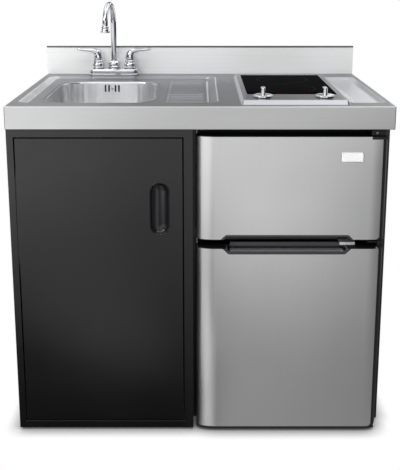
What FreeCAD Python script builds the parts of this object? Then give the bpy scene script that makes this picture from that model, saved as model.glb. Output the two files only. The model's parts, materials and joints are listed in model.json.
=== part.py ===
import FreeCAD, Part
import math
import os
import re

import Sketcher
from FreeCAD import Placement, Rotation, Vector

# Compact kitchenette: stainless worktop with sink, tap and two-zone hob, over a cabinet and a small
# two-door fridge. Millimetres, +Z up, front towards -Y, origin on the floor under the middle of the unit.

SIZES = {
    # whole unit and pressed worktop
    "unit_width": 990,
    "unit_depth": 625,
    "deck_height": 905,
    "apron_height": 60,
    "apron_lip": 14,
    "splash_height": 89,
    "splash_thickness": 15,
    "top_sheet": 1.5,
    "top_edge_radius": 3,
    "overrun": 5,
    "running_gap": 0.05,
    "soft_gap": 0.3,
    # pressed recess round the bowl and drainer
    "recess_rim": 21,
    "recess_width": 523,
    "recess_front": 55.5,
    "recess_rear": 54.5,
    "recess_drop": 7,
    "recess_bevel": 22,
    "recess_corner": 34,
    # pressed landing at the right end
    "landing_rim": 15,
    "landing_width": 85,
    "landing_front": 56.5,
    "landing_rear": 89.5,
    "landing_drop": 4,
    "landing_bevel": 10,
    "landing_corner": 16,
    # drainer ribs
    "drainer_left": 405,
    "drainer_width": 107,
    "drainer_front": 111.5,
    "drainer_rear": 129.5,
    "rib_width": 12,
    "rib_crown": 5,
    "rib_height": 2.4,
    # sink bowl
    "bowl_left": 75,
    "bowl_width": 297,
    "bowl_front": 91.5,
    "bowl_rear": 134.5,
    "bowl_corner": 75,
    "bowl_depth": 150,
    "bowl_sheet": 1.5,
    "bowl_floor_radius": 35,
    "rim_roll": 8,
    "rim_radius": 6,
    "slot_width": 5,
    "slot_height": 22,
    "slot_below_deck": 17,
    "slot_pitch": 10.6,
    "slot_middle": 20,
    # drain and overflow
    "drain_hole": 90,
    "strainer_flange": 112,
    "strainer_lip": 2,
    "strainer_cup": 86,
    "strainer_wall": 3,
    "strainer_depth": 60,
    "strainer_neck": 46,
    "neck_length": 20,
    "gasket_height": 3,
    "locknut_height": 12,
    "tail_diameter": 38.1,
    "tail_wall": 1.5,
    "tail_length": 120,
    "tail_collar": 4,
    "basket_flange": 98,
    "basket_cup": 76,
    "basket_height": 34,
    "basket_sheet": 1.2,
    "basket_post": 8,
    "basket_knob": 18,
    "basket_knob_height": 8,
    "basket_hole": 6,
    "overflow_width": 84,
    "overflow_height": 52,
    "overflow_depth": 26,
    "overflow_wall": 2,
    "overflow_pipe": 22,
    "elbow_side": 27,
    # tap
    "tap_from_left": 220,
    "tap_from_splash": 29.5,
    "tap_base_width": 155,
    "tap_base_depth": 52,
    "tap_base_height": 22,
    "tap_base_radius": 9,
    "tap_spread": 101.6,
    "tap_hole": 28,
    "shank_diameter": 20.9,
    "shank_shoulder": 22,
    "shank_bore": 12,
    "shank_length": 55,
    "nut_diameter": 44,
    "nut_height": 9,
    "bonnet_low": 38,
    "bonnet_high": 30,
    "bonnet_height": 27,
    "bonnet_ring": 6.75,
    "stem_diameter": 9,
    "stem_length": 16,
    "hub_low": 32,
    "hub_waist": 26,
    "hub_height": 34,
    "hub_dome": 12,
    "lever_reach": 67,
    "lever_width": 14,
    "lever_root": 12,
    "lever_tip": 7,
    "lever_edge": 2.3,
    "lever_embed": 3,
    "lever_rise": 9,
    "collar_low": 40,
    "collar_high": 26,
    "collar_height": 27,
    "collar_ring": 9,
    "spout_diameter": 18,
    "spout_wall": 1.5,
    "spout_crown": 236,
    "spout_reach": 120,
    "spout_drop": 2,
    "spout_yaw": 6,
    "aerator_low": 25,
    "aerator_bore": 14,
    "aerator_height": 20,
    "aerator_ring": 6.5,
    # hob
    "hob_left": 600,
    "hob_width": 280,
    "hob_front": 24.5,
    "hob_rear": 87.5,
    "hob_rise": 11,
    "hob_bevel": 7,
    "hob_corner": 9,
    "hob_cut_margin": 11,
    "glass_side": 20,
    "glass_front": 98,
    "glass_rear": 28,
    "glass_thickness": 5,
    "glass_corner": 4,
    "glass_ledge": 7,
    "strip_side": 15,
    "strip_front": 22,
    "strip_length": 72,
    "strip_thickness": 1.5,
    "strip_ledge": 5,
    "pan_depth": 44,
    "pan_sheet": 1,
    "pan_play": 2,
    "element_diameter": 158,
    "element_height": 24,
    "element_gap": 14,
    "switch_side": 36,
    "switch_height": 30,
    "knob_spread": 161,
    "knob_front": 57,
    "knob_diameter": 51,
    "knob_skirt": 8,
    "knob_bar": 11,
    "knob_height": 26,
    "knob_edge": 2,
    "knob_bar_length": 43,
    "knob_stem": 8,
    "knob_stem_length": 20,
    "lamp_spread": 77,
    "lamp_front": 84,
    "lamp_diameter": 6,
    "lamp_proud": 1,
    "lamp_length": 12,
    "clamp_width": 24,
    "clamp_from_end": 72,
    "clamp_height": 20,
    # cabinet
    "cabinet_width": 477,
    "cabinet_setback": 10,
    "frame_depth": 18,
    "left_stile": 18,
    "right_stile": 24,
    "top_rail": 22,
    "bottom_rail": 20,
    "panel_sheet": 1.5,
    "panel_depth": 16,
    "foot_height": 6,
    "foot_diameter": 14,
    "foot_inset": 40,
    "door_gap": 3,
    "door_depth": 17.5,
    "pin_diameter": 5,
    "pin_inset": 6,
    "pin_reach": 10,
    "pull_width": 48,
    "pull_height": 139,
    "pull_from_right": 60,
    "pull_below_deck": 272,
    "pull_depth": 13,
    "pull_wall": 1.5,
    "pull_lip": 2.5,
    "pull_proud": 1,
    "catch_width": 44,
    "catch_depth": 14,
    "catch_height": 26,
    "catch_from_top": 90,
    "service_width": 260,
    "service_height": 320,
    "service_low": 250,
    # right end panel and rear rail
    "stop_setback": 66,
    "end_panel_depth": 14,
    "end_panel_gap": 1,
    "end_panel_setback": 58,
    "rail_depth": 60,
    # fridge shell
    "fridge_gap": 8,
    "fridge_width": 490,
    "door_setback": 2.5,
    "ice_door_depth": 45,
    "gasket_depth": 7,
    "shell_inset": 2,
    "shell_depth": 500,
    "shell_gap": 7,
    "fridge_foot_height": 14,
    "fridge_foot_diameter": 36,
    "wall_foam": 35,
    "back_foam": 45,
    "freezer_low": 575,
    "freezer_high": 803,
    "fridge_low": 60,
    "fridge_high": 500,
    "step_height": 170,
    "step_depth": 137,
    "base_plate": 3,
    "liner_sheet": 1.5,
    "shelf_glass": 4,
    "shelf_front": 110,
    "upper_shelf_height": 385,
    "crisper_wall": 2,
    "crisper_height": 150,
    "crisper_side": 14,
    "compressor_diameter": 118,
    "compressor_height": 135,
    "compressor_dome": 34,
    "compressor_from_left": 200,
    "stat_width": 96,
    "stat_depth": 90,
    "stat_height": 34,
    "stat_side": 18,
    "stat_front": 150,
    "stat_knob": 28,
    "stat_knob_depth": 12,
    "stat_shaft": 6,
    "stat_shaft_length": 10,
    # fridge doors
    "upper_door_low": 552,
    "upper_door_high": 826,
    "lower_door_low": 8,
    "lower_door_high": 533,
    "skin_sheet": 1,
    "skin_border": 13,
    "skin_foot": 6,
    "skin_wrap": 20,
    "skin_corner": 10,
    "door_edge_radius": 14,
    "border_corner": 20,
    "hinge_inset": 11.5,
    "hinge_from_rear": 27,
    "hinge_pin": 8,
    "hinge_reach": 10,
    "hinge_plate": 3,
    "hinge_width": 40,
    "hinge_nose": 9,
    "hinge_tail": 60,
    "hinge_flange": 11,
    "seal_width": 12,
    "seal_side": 10,
    "seal_end": 12,
    "door_liner_gap": 5,
    "door_liner_depth": 15,
    "door_liner_wall": 24,
    "grip_left": 72,
    "grip_width": 330,
    "grip_rise": 15,
    "grip_depth": 30,
    "grip_wall": 2,
    "bin_left": 65,
    "bin_width": 360,
    "bin_depth": 76,
    "bin_wall": 2.5,
    "bin_height": 70,
    "lower_bin_low": 80,
    "upper_bin_low": 300,
}

SAME_POINT = 1e-6
SAME_LEVEL = 1e-4
PARALLEL = 0.999
RIB_COUNT = 13
BASKET_HOLE_COUNT = 8
SLOTS_PER_SIDE = 2

doc = FreeCAD.newDocument("kitchenette")
sheet = doc.addObject("Spreadsheet::Sheet", "Sizes")
for row, (alias, number) in enumerate(SIZES.items(), start=1):
    sheet.set(f"A{row}", alias)
    sheet.set(f"B{row}", str(number))
    sheet.setAlias(f"B{row}", alias)
doc.recompute()

pieces = []

# places that several pieces share
LEFT = "(-unit_width / 2)"
RIGHT = "(unit_width / 2)"
FRONT = "(-unit_depth / 2)"
BACK = "(unit_depth / 2)"
APRON_LOW = "(deck_height - apron_height)"
UNDER_DECK = "(deck_height - top_sheet)"
SPLASH_FACE = "(unit_depth / 2 - splash_thickness)"


def bound(text):
    """Expression on the sheet's cells for a sum written with their aliases."""
    return re.sub(r"[a-z_]+", lambda word: f"Sizes.{word[0]}" if word[0] in SIZES else word[0], str(text))


def value(text):
    """Present value of such a sum."""
    return float(sheet.evalExpression(bound(text)))


def keep(piece):
    """Mark a finished object as a sub-part of the unit."""
    piece.Label = piece.Name
    pieces.append(piece)
    return piece


def grown(span, margin):
    """Span of two sums widened by a margin at both ends."""
    low, high = span
    return f"({low}) - ({margin})", f"({high}) + ({margin})"


def shrunk(span, margin):
    """Span of two sums narrowed by a margin at both ends."""
    low, high = span
    return f"({low}) + ({margin})", f"({high}) - ({margin})"


def from_start(start, length):
    """Span that begins at one sum and has the length of another."""
    return start, f"({start}) + ({length})"


def about(centre, width):
    """Span of a width about a centre."""
    return f"({centre}) - ({width}) / 2", f"({centre}) + ({width}) / 2"


def middle(span):
    """Centre of a span."""
    return f"(({span[0]}) + ({span[1]})) / 2"


def block(name, x, y, z):
    """Box between three spans."""
    box = doc.addObject("Part::Box", name)
    for side, axis, (low, high) in zip(("Length", "Width", "Height"), "xyz", (x, y, z)):
        box.setExpression(side, bound(f"({high}) - ({low})"))
        box.setExpression(f"Placement.Base.{axis}", bound(low))
    return box


ROD_TURNS = {"x": Rotation(Vector(0, 1, 0), 90), "y": Rotation(Vector(1, 0, 0), -90), "z": Rotation()}


def rod(name, axis, centre, span, diameter):
    """Cylinder along an axis over a span, with its centre given on the other two axes."""
    bar = doc.addObject("Part::Cylinder", name)
    bar.Placement = Placement(Vector(), ROD_TURNS[axis])
    bar.setExpression("Radius", bound(f"({diameter}) / 2"))
    bar.setExpression("Height", bound(f"({span[1]}) - ({span[0]})"))
    places = dict(zip([letter for letter in "xyz" if letter != axis], centre))
    places[axis] = span[0]
    for letter, place in places.items():
        bar.setExpression(f"Placement.Base.{letter}", bound(place))
    return bar


def join(name, *shapes):
    """Shapes fused to one."""
    fused = doc.addObject("Part::MultiFuse", name)
    fused.Shapes = list(shapes)
    fused.Refine = True
    return fused


def cut(name, base, *tools):
    """Base less the tools."""
    less = doc.addObject("Part::Cut", name)
    less.Base = base
    less.Tool = tools[0] if len(tools) == 1 else join(f"{name}_tools", *tools)
    less.Refine = True
    return less


def overlap(name, first, second):
    """What two shapes share."""
    common = doc.addObject("Part::Common", name)
    common.Base = first
    common.Tool = second
    common.Refine = True
    return common


def group(name, *shapes):
    """Alike pieces kept as separate solids under one name."""
    together = doc.addObject("Part::Compound", name)
    together.Links = list(shapes)
    return together


def soften(name, base, radius, chosen):
    """Base with the chosen edges rounded."""
    doc.recompute()
    rounded = doc.addObject("Part::Fillet", name)
    rounded.Base = base
    reach = value(radius)
    rounded.Edges = [(i, reach, reach) for i, edge in enumerate(base.Shape.Edges, start=1) if chosen(edge)]
    return rounded


def lies_at(axis, place):
    """Test for edges that lie wholly at one place along an axis."""
    level = value(place)
    return lambda edge: all(abs(getattr(v.Point, axis) - level) < SAME_LEVEL for v in edge.Vertexes)


def runs_along(axis):
    """Test for straight edges parallel to an axis."""
    unit = Vector(*[float(letter == axis) for letter in "xyz"])
    return lambda edge: (edge.Curve.TypeId == "Part::GeomLine"
                         and abs(edge.Curve.Direction.dot(unit)) > PARALLEL)


def origin_feature(body, role):
    """Plane or axis of a body's own origin."""
    return next(feature for feature in body.Origin.OriginFeatures if feature.Role == role)


def step_towards(corner, other):
    """Point one corner radius along the square edge from a corner to its neighbour."""
    across = value(other[0]) - value(corner[0])
    along = value(other[1]) - value(corner[1])
    if abs(across) > abs(along):
        sign = "+" if across > 0 else "-"
        return f"({corner[0]}) {sign} ({corner[2]})", corner[1]
    sign = "+" if along > 0 else "-"
    return corner[0], f"({corner[1]}) {sign} ({corner[2]})"


def outline(body, name, role, offset, corners):
    """Closed sketch, counter-clockwise through corners (u, v), or (u, v, radius) where one is round."""
    sketch = body.newObject("Sketcher::SketchObject", name)
    sketch.AttachmentSupport = [(origin_feature(body, role), "")]
    sketch.MapMode = "FlatFace"
    sketch.setExpression("AttachmentOffset.Base.z", bound(offset))
    stops = []
    for i, corner in enumerate(corners):
        if len(corner) == 2:
            stops.append((corner, None))
            continue
        stops.append((step_towards(corner, corners[i - 1]), corner))
        stops.append((step_towards(corner, corners[(i + 1) % len(corners)]), None))
    points = [Vector(value(u), value(v), 0) for (u, v), _ in stops]
    used = []
    for i, (place, corner) in enumerate(stops):
        start, end = points[i], points[(i + 1) % len(points)]
        if (end - start).Length < SAME_POINT:
            continue
        if corner is None:
            sketch.addGeometry(Part.LineSegment(start, end))
        else:
            centre = start + end - Vector(value(corner[0]), value(corner[1]), 0)
            first = math.atan2(start.y - centre.y, start.x - centre.x)
            last = math.atan2(end.y - centre.y, end.x - centre.x)
            last += 2 * math.pi if last < first else 0
            circle = Part.Circle(centre, Vector(0, 0, 1), (start - centre).Length)
            sketch.addGeometry(Part.ArcOfCircle(circle, first, last))
        used.append((place, corner))
    for i, (place, corner) in enumerate(used):
        for kind, number in zip(("DistanceX", "DistanceY"), place):
            fixed = sketch.addConstraint(Sketcher.Constraint(kind, -1, 1, i, 1, value(number)))
            sketch.setExpression(f"Constraints[{fixed}]", bound(number))
        sketch.addConstraint(Sketcher.Constraint("Coincident", i, 2, (i + 1) % len(used), 1))
        if corner is not None:
            fixed = sketch.addConstraint(Sketcher.Constraint("Radius", i, value(corner[2])))
            sketch.setExpression(f"Constraints[{fixed}]", bound(corner[2]))
    return sketch


def rectangle(x, y, radius=None, margin="0"):
    """Corners of a rectangle between two spans, widened by a margin, with one radius or none."""
    (left, right), (low, high) = grown(x, margin), grown(y, margin)
    tail = () if radius is None else (f"({radius}) + ({margin})",)
    return [(left, low) + tail, (right, low) + tail, (right, high) + tail, (left, high) + tail]


def prism(name, role, corners, span):
    """Body padded from an outline over a span square to its plane."""
    body = doc.addObject("PartDesign::Body", name)
    offset = f"-({span[1]})" if role == "XZ_Plane" else span[0]
    pad = body.newObject("PartDesign::Pad", f"{name}_pad")
    pad.Profile = outline(body, f"{name}_outline", role, offset, corners)
    pad.setExpression("Length", bound(f"({span[1]}) - ({span[0]})"))
    body.Tip = pad
    return body


def tapered(name, role, first, second):
    """Body lofted straight between two outlines, each given with its offset."""
    body = doc.addObject("PartDesign::Body", name)
    loft = body.newObject("PartDesign::AdditiveLoft", f"{name}_loft")
    loft.Profile = outline(body, f"{name}_first", role, *first)
    loft.Sections = [outline(body, f"{name}_second", role, *second)]
    loft.Ruled = True
    body.Tip = loft
    return body


def turned(name, place, profile):
    """Body turned about its own upright axis from a profile of (radius, height) corners."""
    body = doc.addObject("PartDesign::Body", name)
    turning = body.newObject("PartDesign::Revolution", f"{name}_turning")
    sketch = outline(body, f"{name}_profile", "XZ_Plane", "0", profile)
    turning.Profile = sketch
    turning.ReferenceAxis = (sketch, ["V_Axis"])
    turning.Angle = 360
    body.Tip = turning
    for axis, coordinate in zip("xyz", place):
        body.setExpression(f"Placement.Base.{axis}", bound(coordinate))
    return body


def ring_profile(inner, outer, low, high):
    """Profile of a plain ring given by two diameters and a span of heights."""
    inside, outside = f"({inner}) / 2", f"({outer}) / 2"
    return [(inside, low), (outside, low), (outside, high), (inside, high)]


# worktop

RECESS_X = from_start(f"{LEFT} + recess_rim", "recess_width")
RECESS_Y = (f"({FRONT} + recess_front)", f"({SPLASH_FACE} - recess_rear)")
RECESS_FLOOR = "(deck_height - recess_drop)"
LANDING_X = (f"{RIGHT} - landing_rim - landing_width", f"{RIGHT} - landing_rim")
LANDING_Y = (f"({FRONT} + landing_front)", f"({SPLASH_FACE} - landing_rear)")
BOWL_X = from_start(f"{LEFT} + bowl_left", "bowl_width")
BOWL_Y = (f"({FRONT} + bowl_front)", f"({SPLASH_FACE} - bowl_rear)")
HOB_X = from_start(f"{LEFT} + hob_left", "hob_width")
HOB_Y = (f"({FRONT} + hob_front)", f"({SPLASH_FACE} - hob_rear)")
TAP_X = f"({LEFT} + tap_from_left)"
TAP_Y = f"({SPLASH_FACE} - tap_from_splash)"
TAP_SIDES = {"hot": f"({TAP_X} - tap_spread / 2)", "cold": f"({TAP_X} + tap_spread / 2)"}
DECK_CUT = ("deck_height - recess_drop - top_sheet - overrun", "deck_height + overrun")


def pressing(name, x, y, corner, bevel, drop, margin):
    """Shallow bevelled dish below the deck, grown by a margin for its outer side."""
    wide = rectangle(x, y, corner, margin)
    narrow = rectangle(shrunk(x, bevel), shrunk(y, bevel), f"{corner} - {bevel}", margin)
    return tapered(name, "XY_Plane", (f"deck_height - {drop} - ({margin})", narrow), ("deck_height", wide))


def drainer_ribs():
    """Row of straight ribs across the drainer, raised from the recess floor."""
    body = doc.addObject("PartDesign::Body", "drainer_ribs")
    start = f"{FRONT} + drainer_front"
    flank = "(rib_width - rib_crown) / 2"
    corners = [
        (start, RECESS_FLOOR),
        (f"{start} + rib_width", RECESS_FLOOR),
        (f"{start} + rib_width - {flank}", f"{RECESS_FLOOR} + rib_height"),
        (f"{start} + {flank}", f"{RECESS_FLOOR} + rib_height"),
    ]
    pad = body.newObject("PartDesign::Pad", "rib_pad")
    pad.Profile = outline(body, "rib_outline", "YZ_Plane", f"{LEFT} + drainer_left", corners)
    pad.setExpression("Length", bound("drainer_width"))
    doc.recompute()
    row = body.newObject("PartDesign::LinearPattern", "rib_row")
    row.Originals = [pad]
    row.Direction = (origin_feature(body, "Y_Axis"), [""])
    row.setExpression("Length", bound(f"{SPLASH_FACE} - drainer_rear - ({start}) - rib_width"))
    row.Occurrences = RIB_COUNT
    body.Tip = row
    return body


def make_worktop():
    outer = block("top_outer", (LEFT, RIGHT), (FRONT, SPLASH_FACE), (APRON_LOW, "deck_height"))
    doc.recompute()
    on_top, at_back = lies_at("z", "deck_height"), lies_at("y", SPLASH_FACE)
    at_front, upright = lies_at("y", FRONT), runs_along("z")
    outer = soften("top_rounded", outer, "top_edge_radius",
                   lambda edge: (on_top(edge) and not at_back(edge)) or (upright(edge) and at_front(edge)))
    inside_x, inside_y = shrunk((LEFT, RIGHT), "top_sheet"), shrunk((FRONT, SPLASH_FACE), "top_sheet")
    hollow = block("top_hollow", inside_x, inside_y, (f"{APRON_LOW} + top_sheet", UNDER_DECK))
    mouth_x, mouth_y = shrunk((LEFT, RIGHT), "apron_lip"), shrunk((FRONT, SPLASH_FACE), "apron_lip")
    mouth = block("top_mouth", mouth_x, mouth_y,
                  (f"{APRON_LOW} - overrun", f"{APRON_LOW} + top_sheet + overrun"))
    recess = (RECESS_X, RECESS_Y, "recess_corner", "recess_bevel", "recess_drop")
    landing = (LANDING_X, LANDING_Y, "landing_corner", "landing_bevel", "landing_drop")
    folded = cut("top_folded", outer, hollow, mouth)
    backed = join("top_backed", folded, pressing("recess_outer", *recess, "top_sheet"),
                  pressing("landing_outer", *landing, "top_sheet"))
    holes = [rod(f"{side}_tap_hole", "z", (x, TAP_Y), DECK_CUT, "tap_hole")
             for side, x in TAP_SIDES.items()]
    pressed = cut("top_pressed", backed, pressing("recess_inner", *recess, "0"),
                  pressing("landing_inner", *landing, "0"))
    bowl_outline = rectangle(BOWL_X, BOWL_Y, "bowl_corner", "rim_roll")
    hob_x, hob_y = shrunk(HOB_X, "hob_cut_margin"), shrunk(HOB_Y, "hob_cut_margin")
    pierced = cut("top_pierced", pressed, *holes, prism("bowl_hole", "XY_Plane", bowl_outline, DECK_CUT),
                  block("hob_hole", hob_x, hob_y, DECK_CUT))
    keep(join("worktop", pierced, drainer_ribs()))


def make_backsplash():
    span_z = (APRON_LOW, "deck_height + splash_height")
    outer = block("splash_outer", (LEFT, RIGHT), (SPLASH_FACE, BACK), span_z)
    doc.recompute()
    on_top, along_x = lies_at("z", span_z[1]), runs_along("x")
    outer = soften("splash_rounded", outer, "top_edge_radius", lambda edge: on_top(edge) and along_x(edge))
    inside_x, inside_y = shrunk((LEFT, RIGHT), "top_sheet"), shrunk((SPLASH_FACE, BACK), "top_sheet")
    hollow = block("splash_hollow", inside_x, inside_y,
                   (f"{APRON_LOW} - overrun", f"{span_z[1]} - top_sheet"))
    keep(cut("backsplash", outer, hollow))


# sink

DRAIN_X = middle(BOWL_X)
DRAIN_Y = middle(BOWL_Y)
BOWL_FLOOR = f"({RECESS_FLOOR} - bowl_depth)"
UNDER_BOWL = f"({BOWL_FLOOR} - bowl_sheet)"
SLOT_Z = ("deck_height - slot_below_deck - slot_height", "deck_height - slot_below_deck")


def bowl_form(name, margin, low):
    """Bowl-shaped solid with a rounded floor, grown by a margin."""
    corners = rectangle(BOWL_X, BOWL_Y, "bowl_corner", margin)
    form = prism(f"{name}_walls", "XY_Plane", corners, (low, RECESS_FLOOR))
    doc.recompute()
    return soften(name, form, f"bowl_floor_radius + {margin}", lies_at("z", low))


def make_sink():
    rim = prism("bowl_rim", "XY_Plane", rectangle(BOWL_X, BOWL_Y, "bowl_corner", "rim_roll"),
                (f"{RECESS_FLOOR} - rim_roll", RECESS_FLOOR))
    solid = join("bowl_solid", bowl_form("bowl_outer", "bowl_sheet", UNDER_BOWL), rim)
    hollow = cut("bowl_hollow", solid, bowl_form("bowl_inner", "0", BOWL_FLOOR))
    doc.recompute()
    on_top = lies_at("z", RECESS_FLOOR)
    inside = value(f"{BOWL_X[0]} - rim_roll / 2")
    hollow = soften("bowl_rolled", hollow, "rim_radius",
                    lambda edge: on_top(edge) and edge.BoundBox.XMin > inside
                    and edge.BoundBox.XMax < -inside + 2 * value(DRAIN_X)
                    and edge.BoundBox.YMin > value(f"{BOWL_Y[0]} - rim_roll / 2")
                    and edge.BoundBox.YMax < value(f"{BOWL_Y[1]} + rim_roll / 2"))
    wall_y = grown((BOWL_Y[1], f"{BOWL_Y[1]} + bowl_sheet"), "overrun")
    slots = []
    for side in (-1, 1):
        for count in range(SLOTS_PER_SIDE):
            centre = f"{DRAIN_X} + ({side}) * (slot_middle / 2 + {count} * slot_pitch)"
            slots.append(block(f"slot_{side + 1}_{count}", about(centre, "slot_width"), wall_y, SLOT_Z))
    through = grown((UNDER_BOWL, BOWL_FLOOR), "overrun")
    drain = rod("bowl_drain", "z", (DRAIN_X, DRAIN_Y), through, "drain_hole")
    keep(cut("sink_bowl", hollow, drain, *slots))


NECK_LOW = f"({BOWL_FLOOR} - strainer_depth - neck_length)"


def make_drain():
    cup, lip = "strainer_cup / 2", "strainer_flange / 2"
    neck, wall = "strainer_neck / 2", "strainer_wall"
    place = (DRAIN_X, DRAIN_Y, "0")
    keep(turned("strainer_body", place, [
        (f"{neck} - {wall} * 2", NECK_LOW),
        (neck, NECK_LOW),
        (neck, f"{BOWL_FLOOR} - strainer_depth"),
        (cup, f"{BOWL_FLOOR} - strainer_depth"),
        (cup, BOWL_FLOOR),
        (lip, BOWL_FLOOR),
        (lip, f"{BOWL_FLOOR} + strainer_lip / 2"),
        (f"{lip} - strainer_lip", f"{BOWL_FLOOR} + strainer_lip"),
        (f"{cup} - {wall}", f"{BOWL_FLOOR} + strainer_lip"),
        (f"{cup} - {wall}", f"{BOWL_FLOOR} - strainer_depth + {wall}"),
        (f"{neck} - {wall} * 2", f"{BOWL_FLOOR} - strainer_depth + {wall}"),
    ]))
    bore = "strainer_cup + soft_gap * 2"
    seal_low = f"{UNDER_BOWL} - gasket_height"
    keep(turned("strainer_gasket", place, ring_profile(bore, "strainer_flange", seal_low, UNDER_BOWL)))
    keep(turned("strainer_locknut", place,
                ring_profile(bore, "strainer_flange", f"{seal_low} - locknut_height", seal_low)))
    tube = "tail_diameter / 2"
    keep(turned("drain_tailpiece", place, [
        (f"{tube} - tail_wall", f"{NECK_LOW} - tail_length"),
        (tube, f"{NECK_LOW} - tail_length"),
        (tube, f"{NECK_LOW} - tail_collar"),
        (neck, f"{NECK_LOW} - tail_collar"),
        (neck, NECK_LOW),
        (f"{tube} - tail_wall", NECK_LOW),
    ]))


def make_basket():
    seat = f"({BOWL_FLOOR} + strainer_lip)"
    floor = f"({seat} - basket_height)"
    cup, post, knob = "basket_cup / 2", "basket_post / 2", "basket_knob / 2"
    form = turned("basket_form", (DRAIN_X, DRAIN_Y, "0"), [
        ("0", floor),
        (cup, floor),
        (cup, seat),
        ("basket_flange / 2", seat),
        ("basket_flange / 2", f"{seat} + basket_sheet"),
        (f"{cup} - basket_sheet", f"{seat} + basket_sheet"),
        (f"{cup} - basket_sheet", f"{floor} + basket_sheet"),
        (post, f"{floor} + basket_sheet"),
        (post, seat),
        (knob, f"{seat} + basket_knob_height / 2"),
        (knob, f"{seat} + basket_knob_height"),
        ("0", f"{seat} + basket_knob_height"),
    ])
    holes = []
    for index in range(BASKET_HOLE_COUNT):
        turn = 2 * math.pi * index / BASKET_HOLE_COUNT
        radius = f"(({cup}) + ({post})) / 2"
        centre = (f"{DRAIN_X} + {radius} * {math.cos(turn):.6f}",
                  f"{DRAIN_Y} + {radius} * {math.sin(turn):.6f}")
        span = grown((floor, f"{floor} + basket_sheet"), "overrun")
        holes.append(rod(f"basket_hole_{index}", "z", centre, span, "basket_hole"))
    keep(cut("strainer_basket", form, *holes))


def make_overflow():
    back = f"({BOWL_Y[1]} + bowl_sheet)"
    span_x = about(DRAIN_X, "overflow_width")
    span_y = from_start(back, "overflow_depth")
    centre_z = middle(SLOT_Z)
    span_z = (f"{RECESS_FLOOR} - rim_roll - overflow_height", f"{RECESS_FLOOR} - rim_roll")
    shell = block("overflow_box", span_x, span_y, span_z)
    pipe_y = f"({back} + overflow_pipe / 2 + soft_gap)"
    elbow_z = f"({BOWL_FLOOR} - strainer_depth / 2)"
    drop_z = (elbow_z, f"{span_z[0]} + overflow_wall")
    drop = rod("overflow_drop", "z", (DRAIN_X, pipe_y), drop_z, "overflow_pipe")
    run_y = (f"{DRAIN_Y} + strainer_cup / 2 + soft_gap", pipe_y)
    run = rod("overflow_run", "y", (DRAIN_X, elbow_z), run_y, "overflow_pipe")
    elbow = block("overflow_elbow", about(DRAIN_X, "elbow_side"), about(pipe_y, "elbow_side"),
                  about(elbow_z, "elbow_side"))
    room = block("overflow_room", shrunk(span_x, "overflow_wall"),
                 (f"{back} - overrun", f"{span_y[1]} - overflow_wall"), shrunk(span_z, "overflow_wall"))
    bore = "overflow_pipe - overflow_wall * 2"
    drop_bore = rod("overflow_drop_bore", "z", (DRAIN_X, pipe_y), (elbow_z, centre_z),
                    f"{bore} - overflow_wall")
    run_bore = rod("overflow_run_bore", "y", (DRAIN_X, elbow_z), (f"{run_y[0]} - overrun", pipe_y), bore)
    solid = join("overflow_solid", shell, drop, run, elbow)
    keep(cut("overflow_housing", solid, room, drop_bore, run_bore))


# tap

BASE_TOP = "(deck_height + tap_base_height)"
BONNET_TOP = f"({BASE_TOP} + bonnet_height)"


def make_tap_base():
    base_x, base_y = about(TAP_X, "tap_base_width"), about(TAP_Y, "tap_base_depth")
    corners = rectangle(base_x, base_y, "tap_base_depth / 2")
    form = prism("tap_base_form", "XY_Plane", corners, ("deck_height", BASE_TOP))
    doc.recompute()
    keep(soften("faucet_base", form, "tap_base_radius", lies_at("z", BASE_TOP)))
    shanks, nuts = [], []
    for side, x in TAP_SIDES.items():
        nut_low = f"{UNDER_DECK} - nut_height"
        shanks.append(turned(f"{side}_shank", (x, TAP_Y, "0"), [
            ("shank_bore / 2", "deck_height - shank_length"),
            ("shank_diameter / 2", "deck_height - shank_length"),
            ("shank_diameter / 2", nut_low),
            ("shank_shoulder / 2", nut_low),
            ("shank_shoulder / 2", "deck_height"),
            ("shank_bore / 2", "deck_height"),
        ]))
        nuts.append(turned(f"{side}_shank_nut", (x, TAP_Y, "0"), ring_profile(
            "shank_shoulder + soft_gap * 2", "nut_diameter", nut_low, UNDER_DECK)))
    keep(group("faucet_shanks", *shanks))
    keep(group("faucet_locknuts", *nuts))


def make_bonnets():
    bore = "stem_diameter / 2 + running_gap"
    depth = "stem_length + soft_gap"
    bonnets = []
    for side, x in TAP_SIDES.items():
        bonnets.append(turned(f"{side}_bonnet", (x, TAP_Y, "0"), [
            ("0", BASE_TOP),
            ("bonnet_low / 2", BASE_TOP),
            ("bonnet_low / 2", f"{BASE_TOP} + bonnet_ring"),
            ("bonnet_high / 2", BONNET_TOP),
            (bore, BONNET_TOP),
            (bore, f"{BONNET_TOP} - ({depth})"),
            ("0", f"{BONNET_TOP} - ({depth})"),
        ]))
    keep(group("valve_bonnets", *bonnets))


def make_lever(side, outward):
    """Lever on one valve: stem, domed hub and an arm that rises a little outwards."""
    x = TAP_SIDES[side]
    low = f"({BONNET_TOP} + soft_gap)"
    high = f"({low} + hub_height)"
    hub = turned(f"{side}_hub", (x, TAP_Y, "0"), [
        ("0", f"{BONNET_TOP} - stem_length"),
        ("stem_diameter / 2", f"{BONNET_TOP} - stem_length"),
        ("stem_diameter / 2", low),
        ("hub_low / 2", low),
        ("hub_waist / 2", f"{low} + hub_height / 2"),
        ("hub_waist / 2", f"{high} - hub_dome"),
        ("hub_dome / 2", high),
        ("0", high),
    ])

    def section(width, tall, centre):
        return rectangle(about(TAP_Y, width), about(centre, tall), "lever_edge")

    root = section("lever_root", "lever_root", f"{high} - lever_root / 2 - lever_embed")
    tip = section("lever_width", "lever_tip", f"{high} - lever_root / 2 + lever_rise")
    near = (f"{x} + ({outward}) * lever_embed", root)
    far = (f"{x} + ({outward}) * lever_reach", tip)
    arm = tapered(f"{side}_arm", "YZ_Plane", near, far)
    keep(join(f"{side}_lever", hub, arm))


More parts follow.
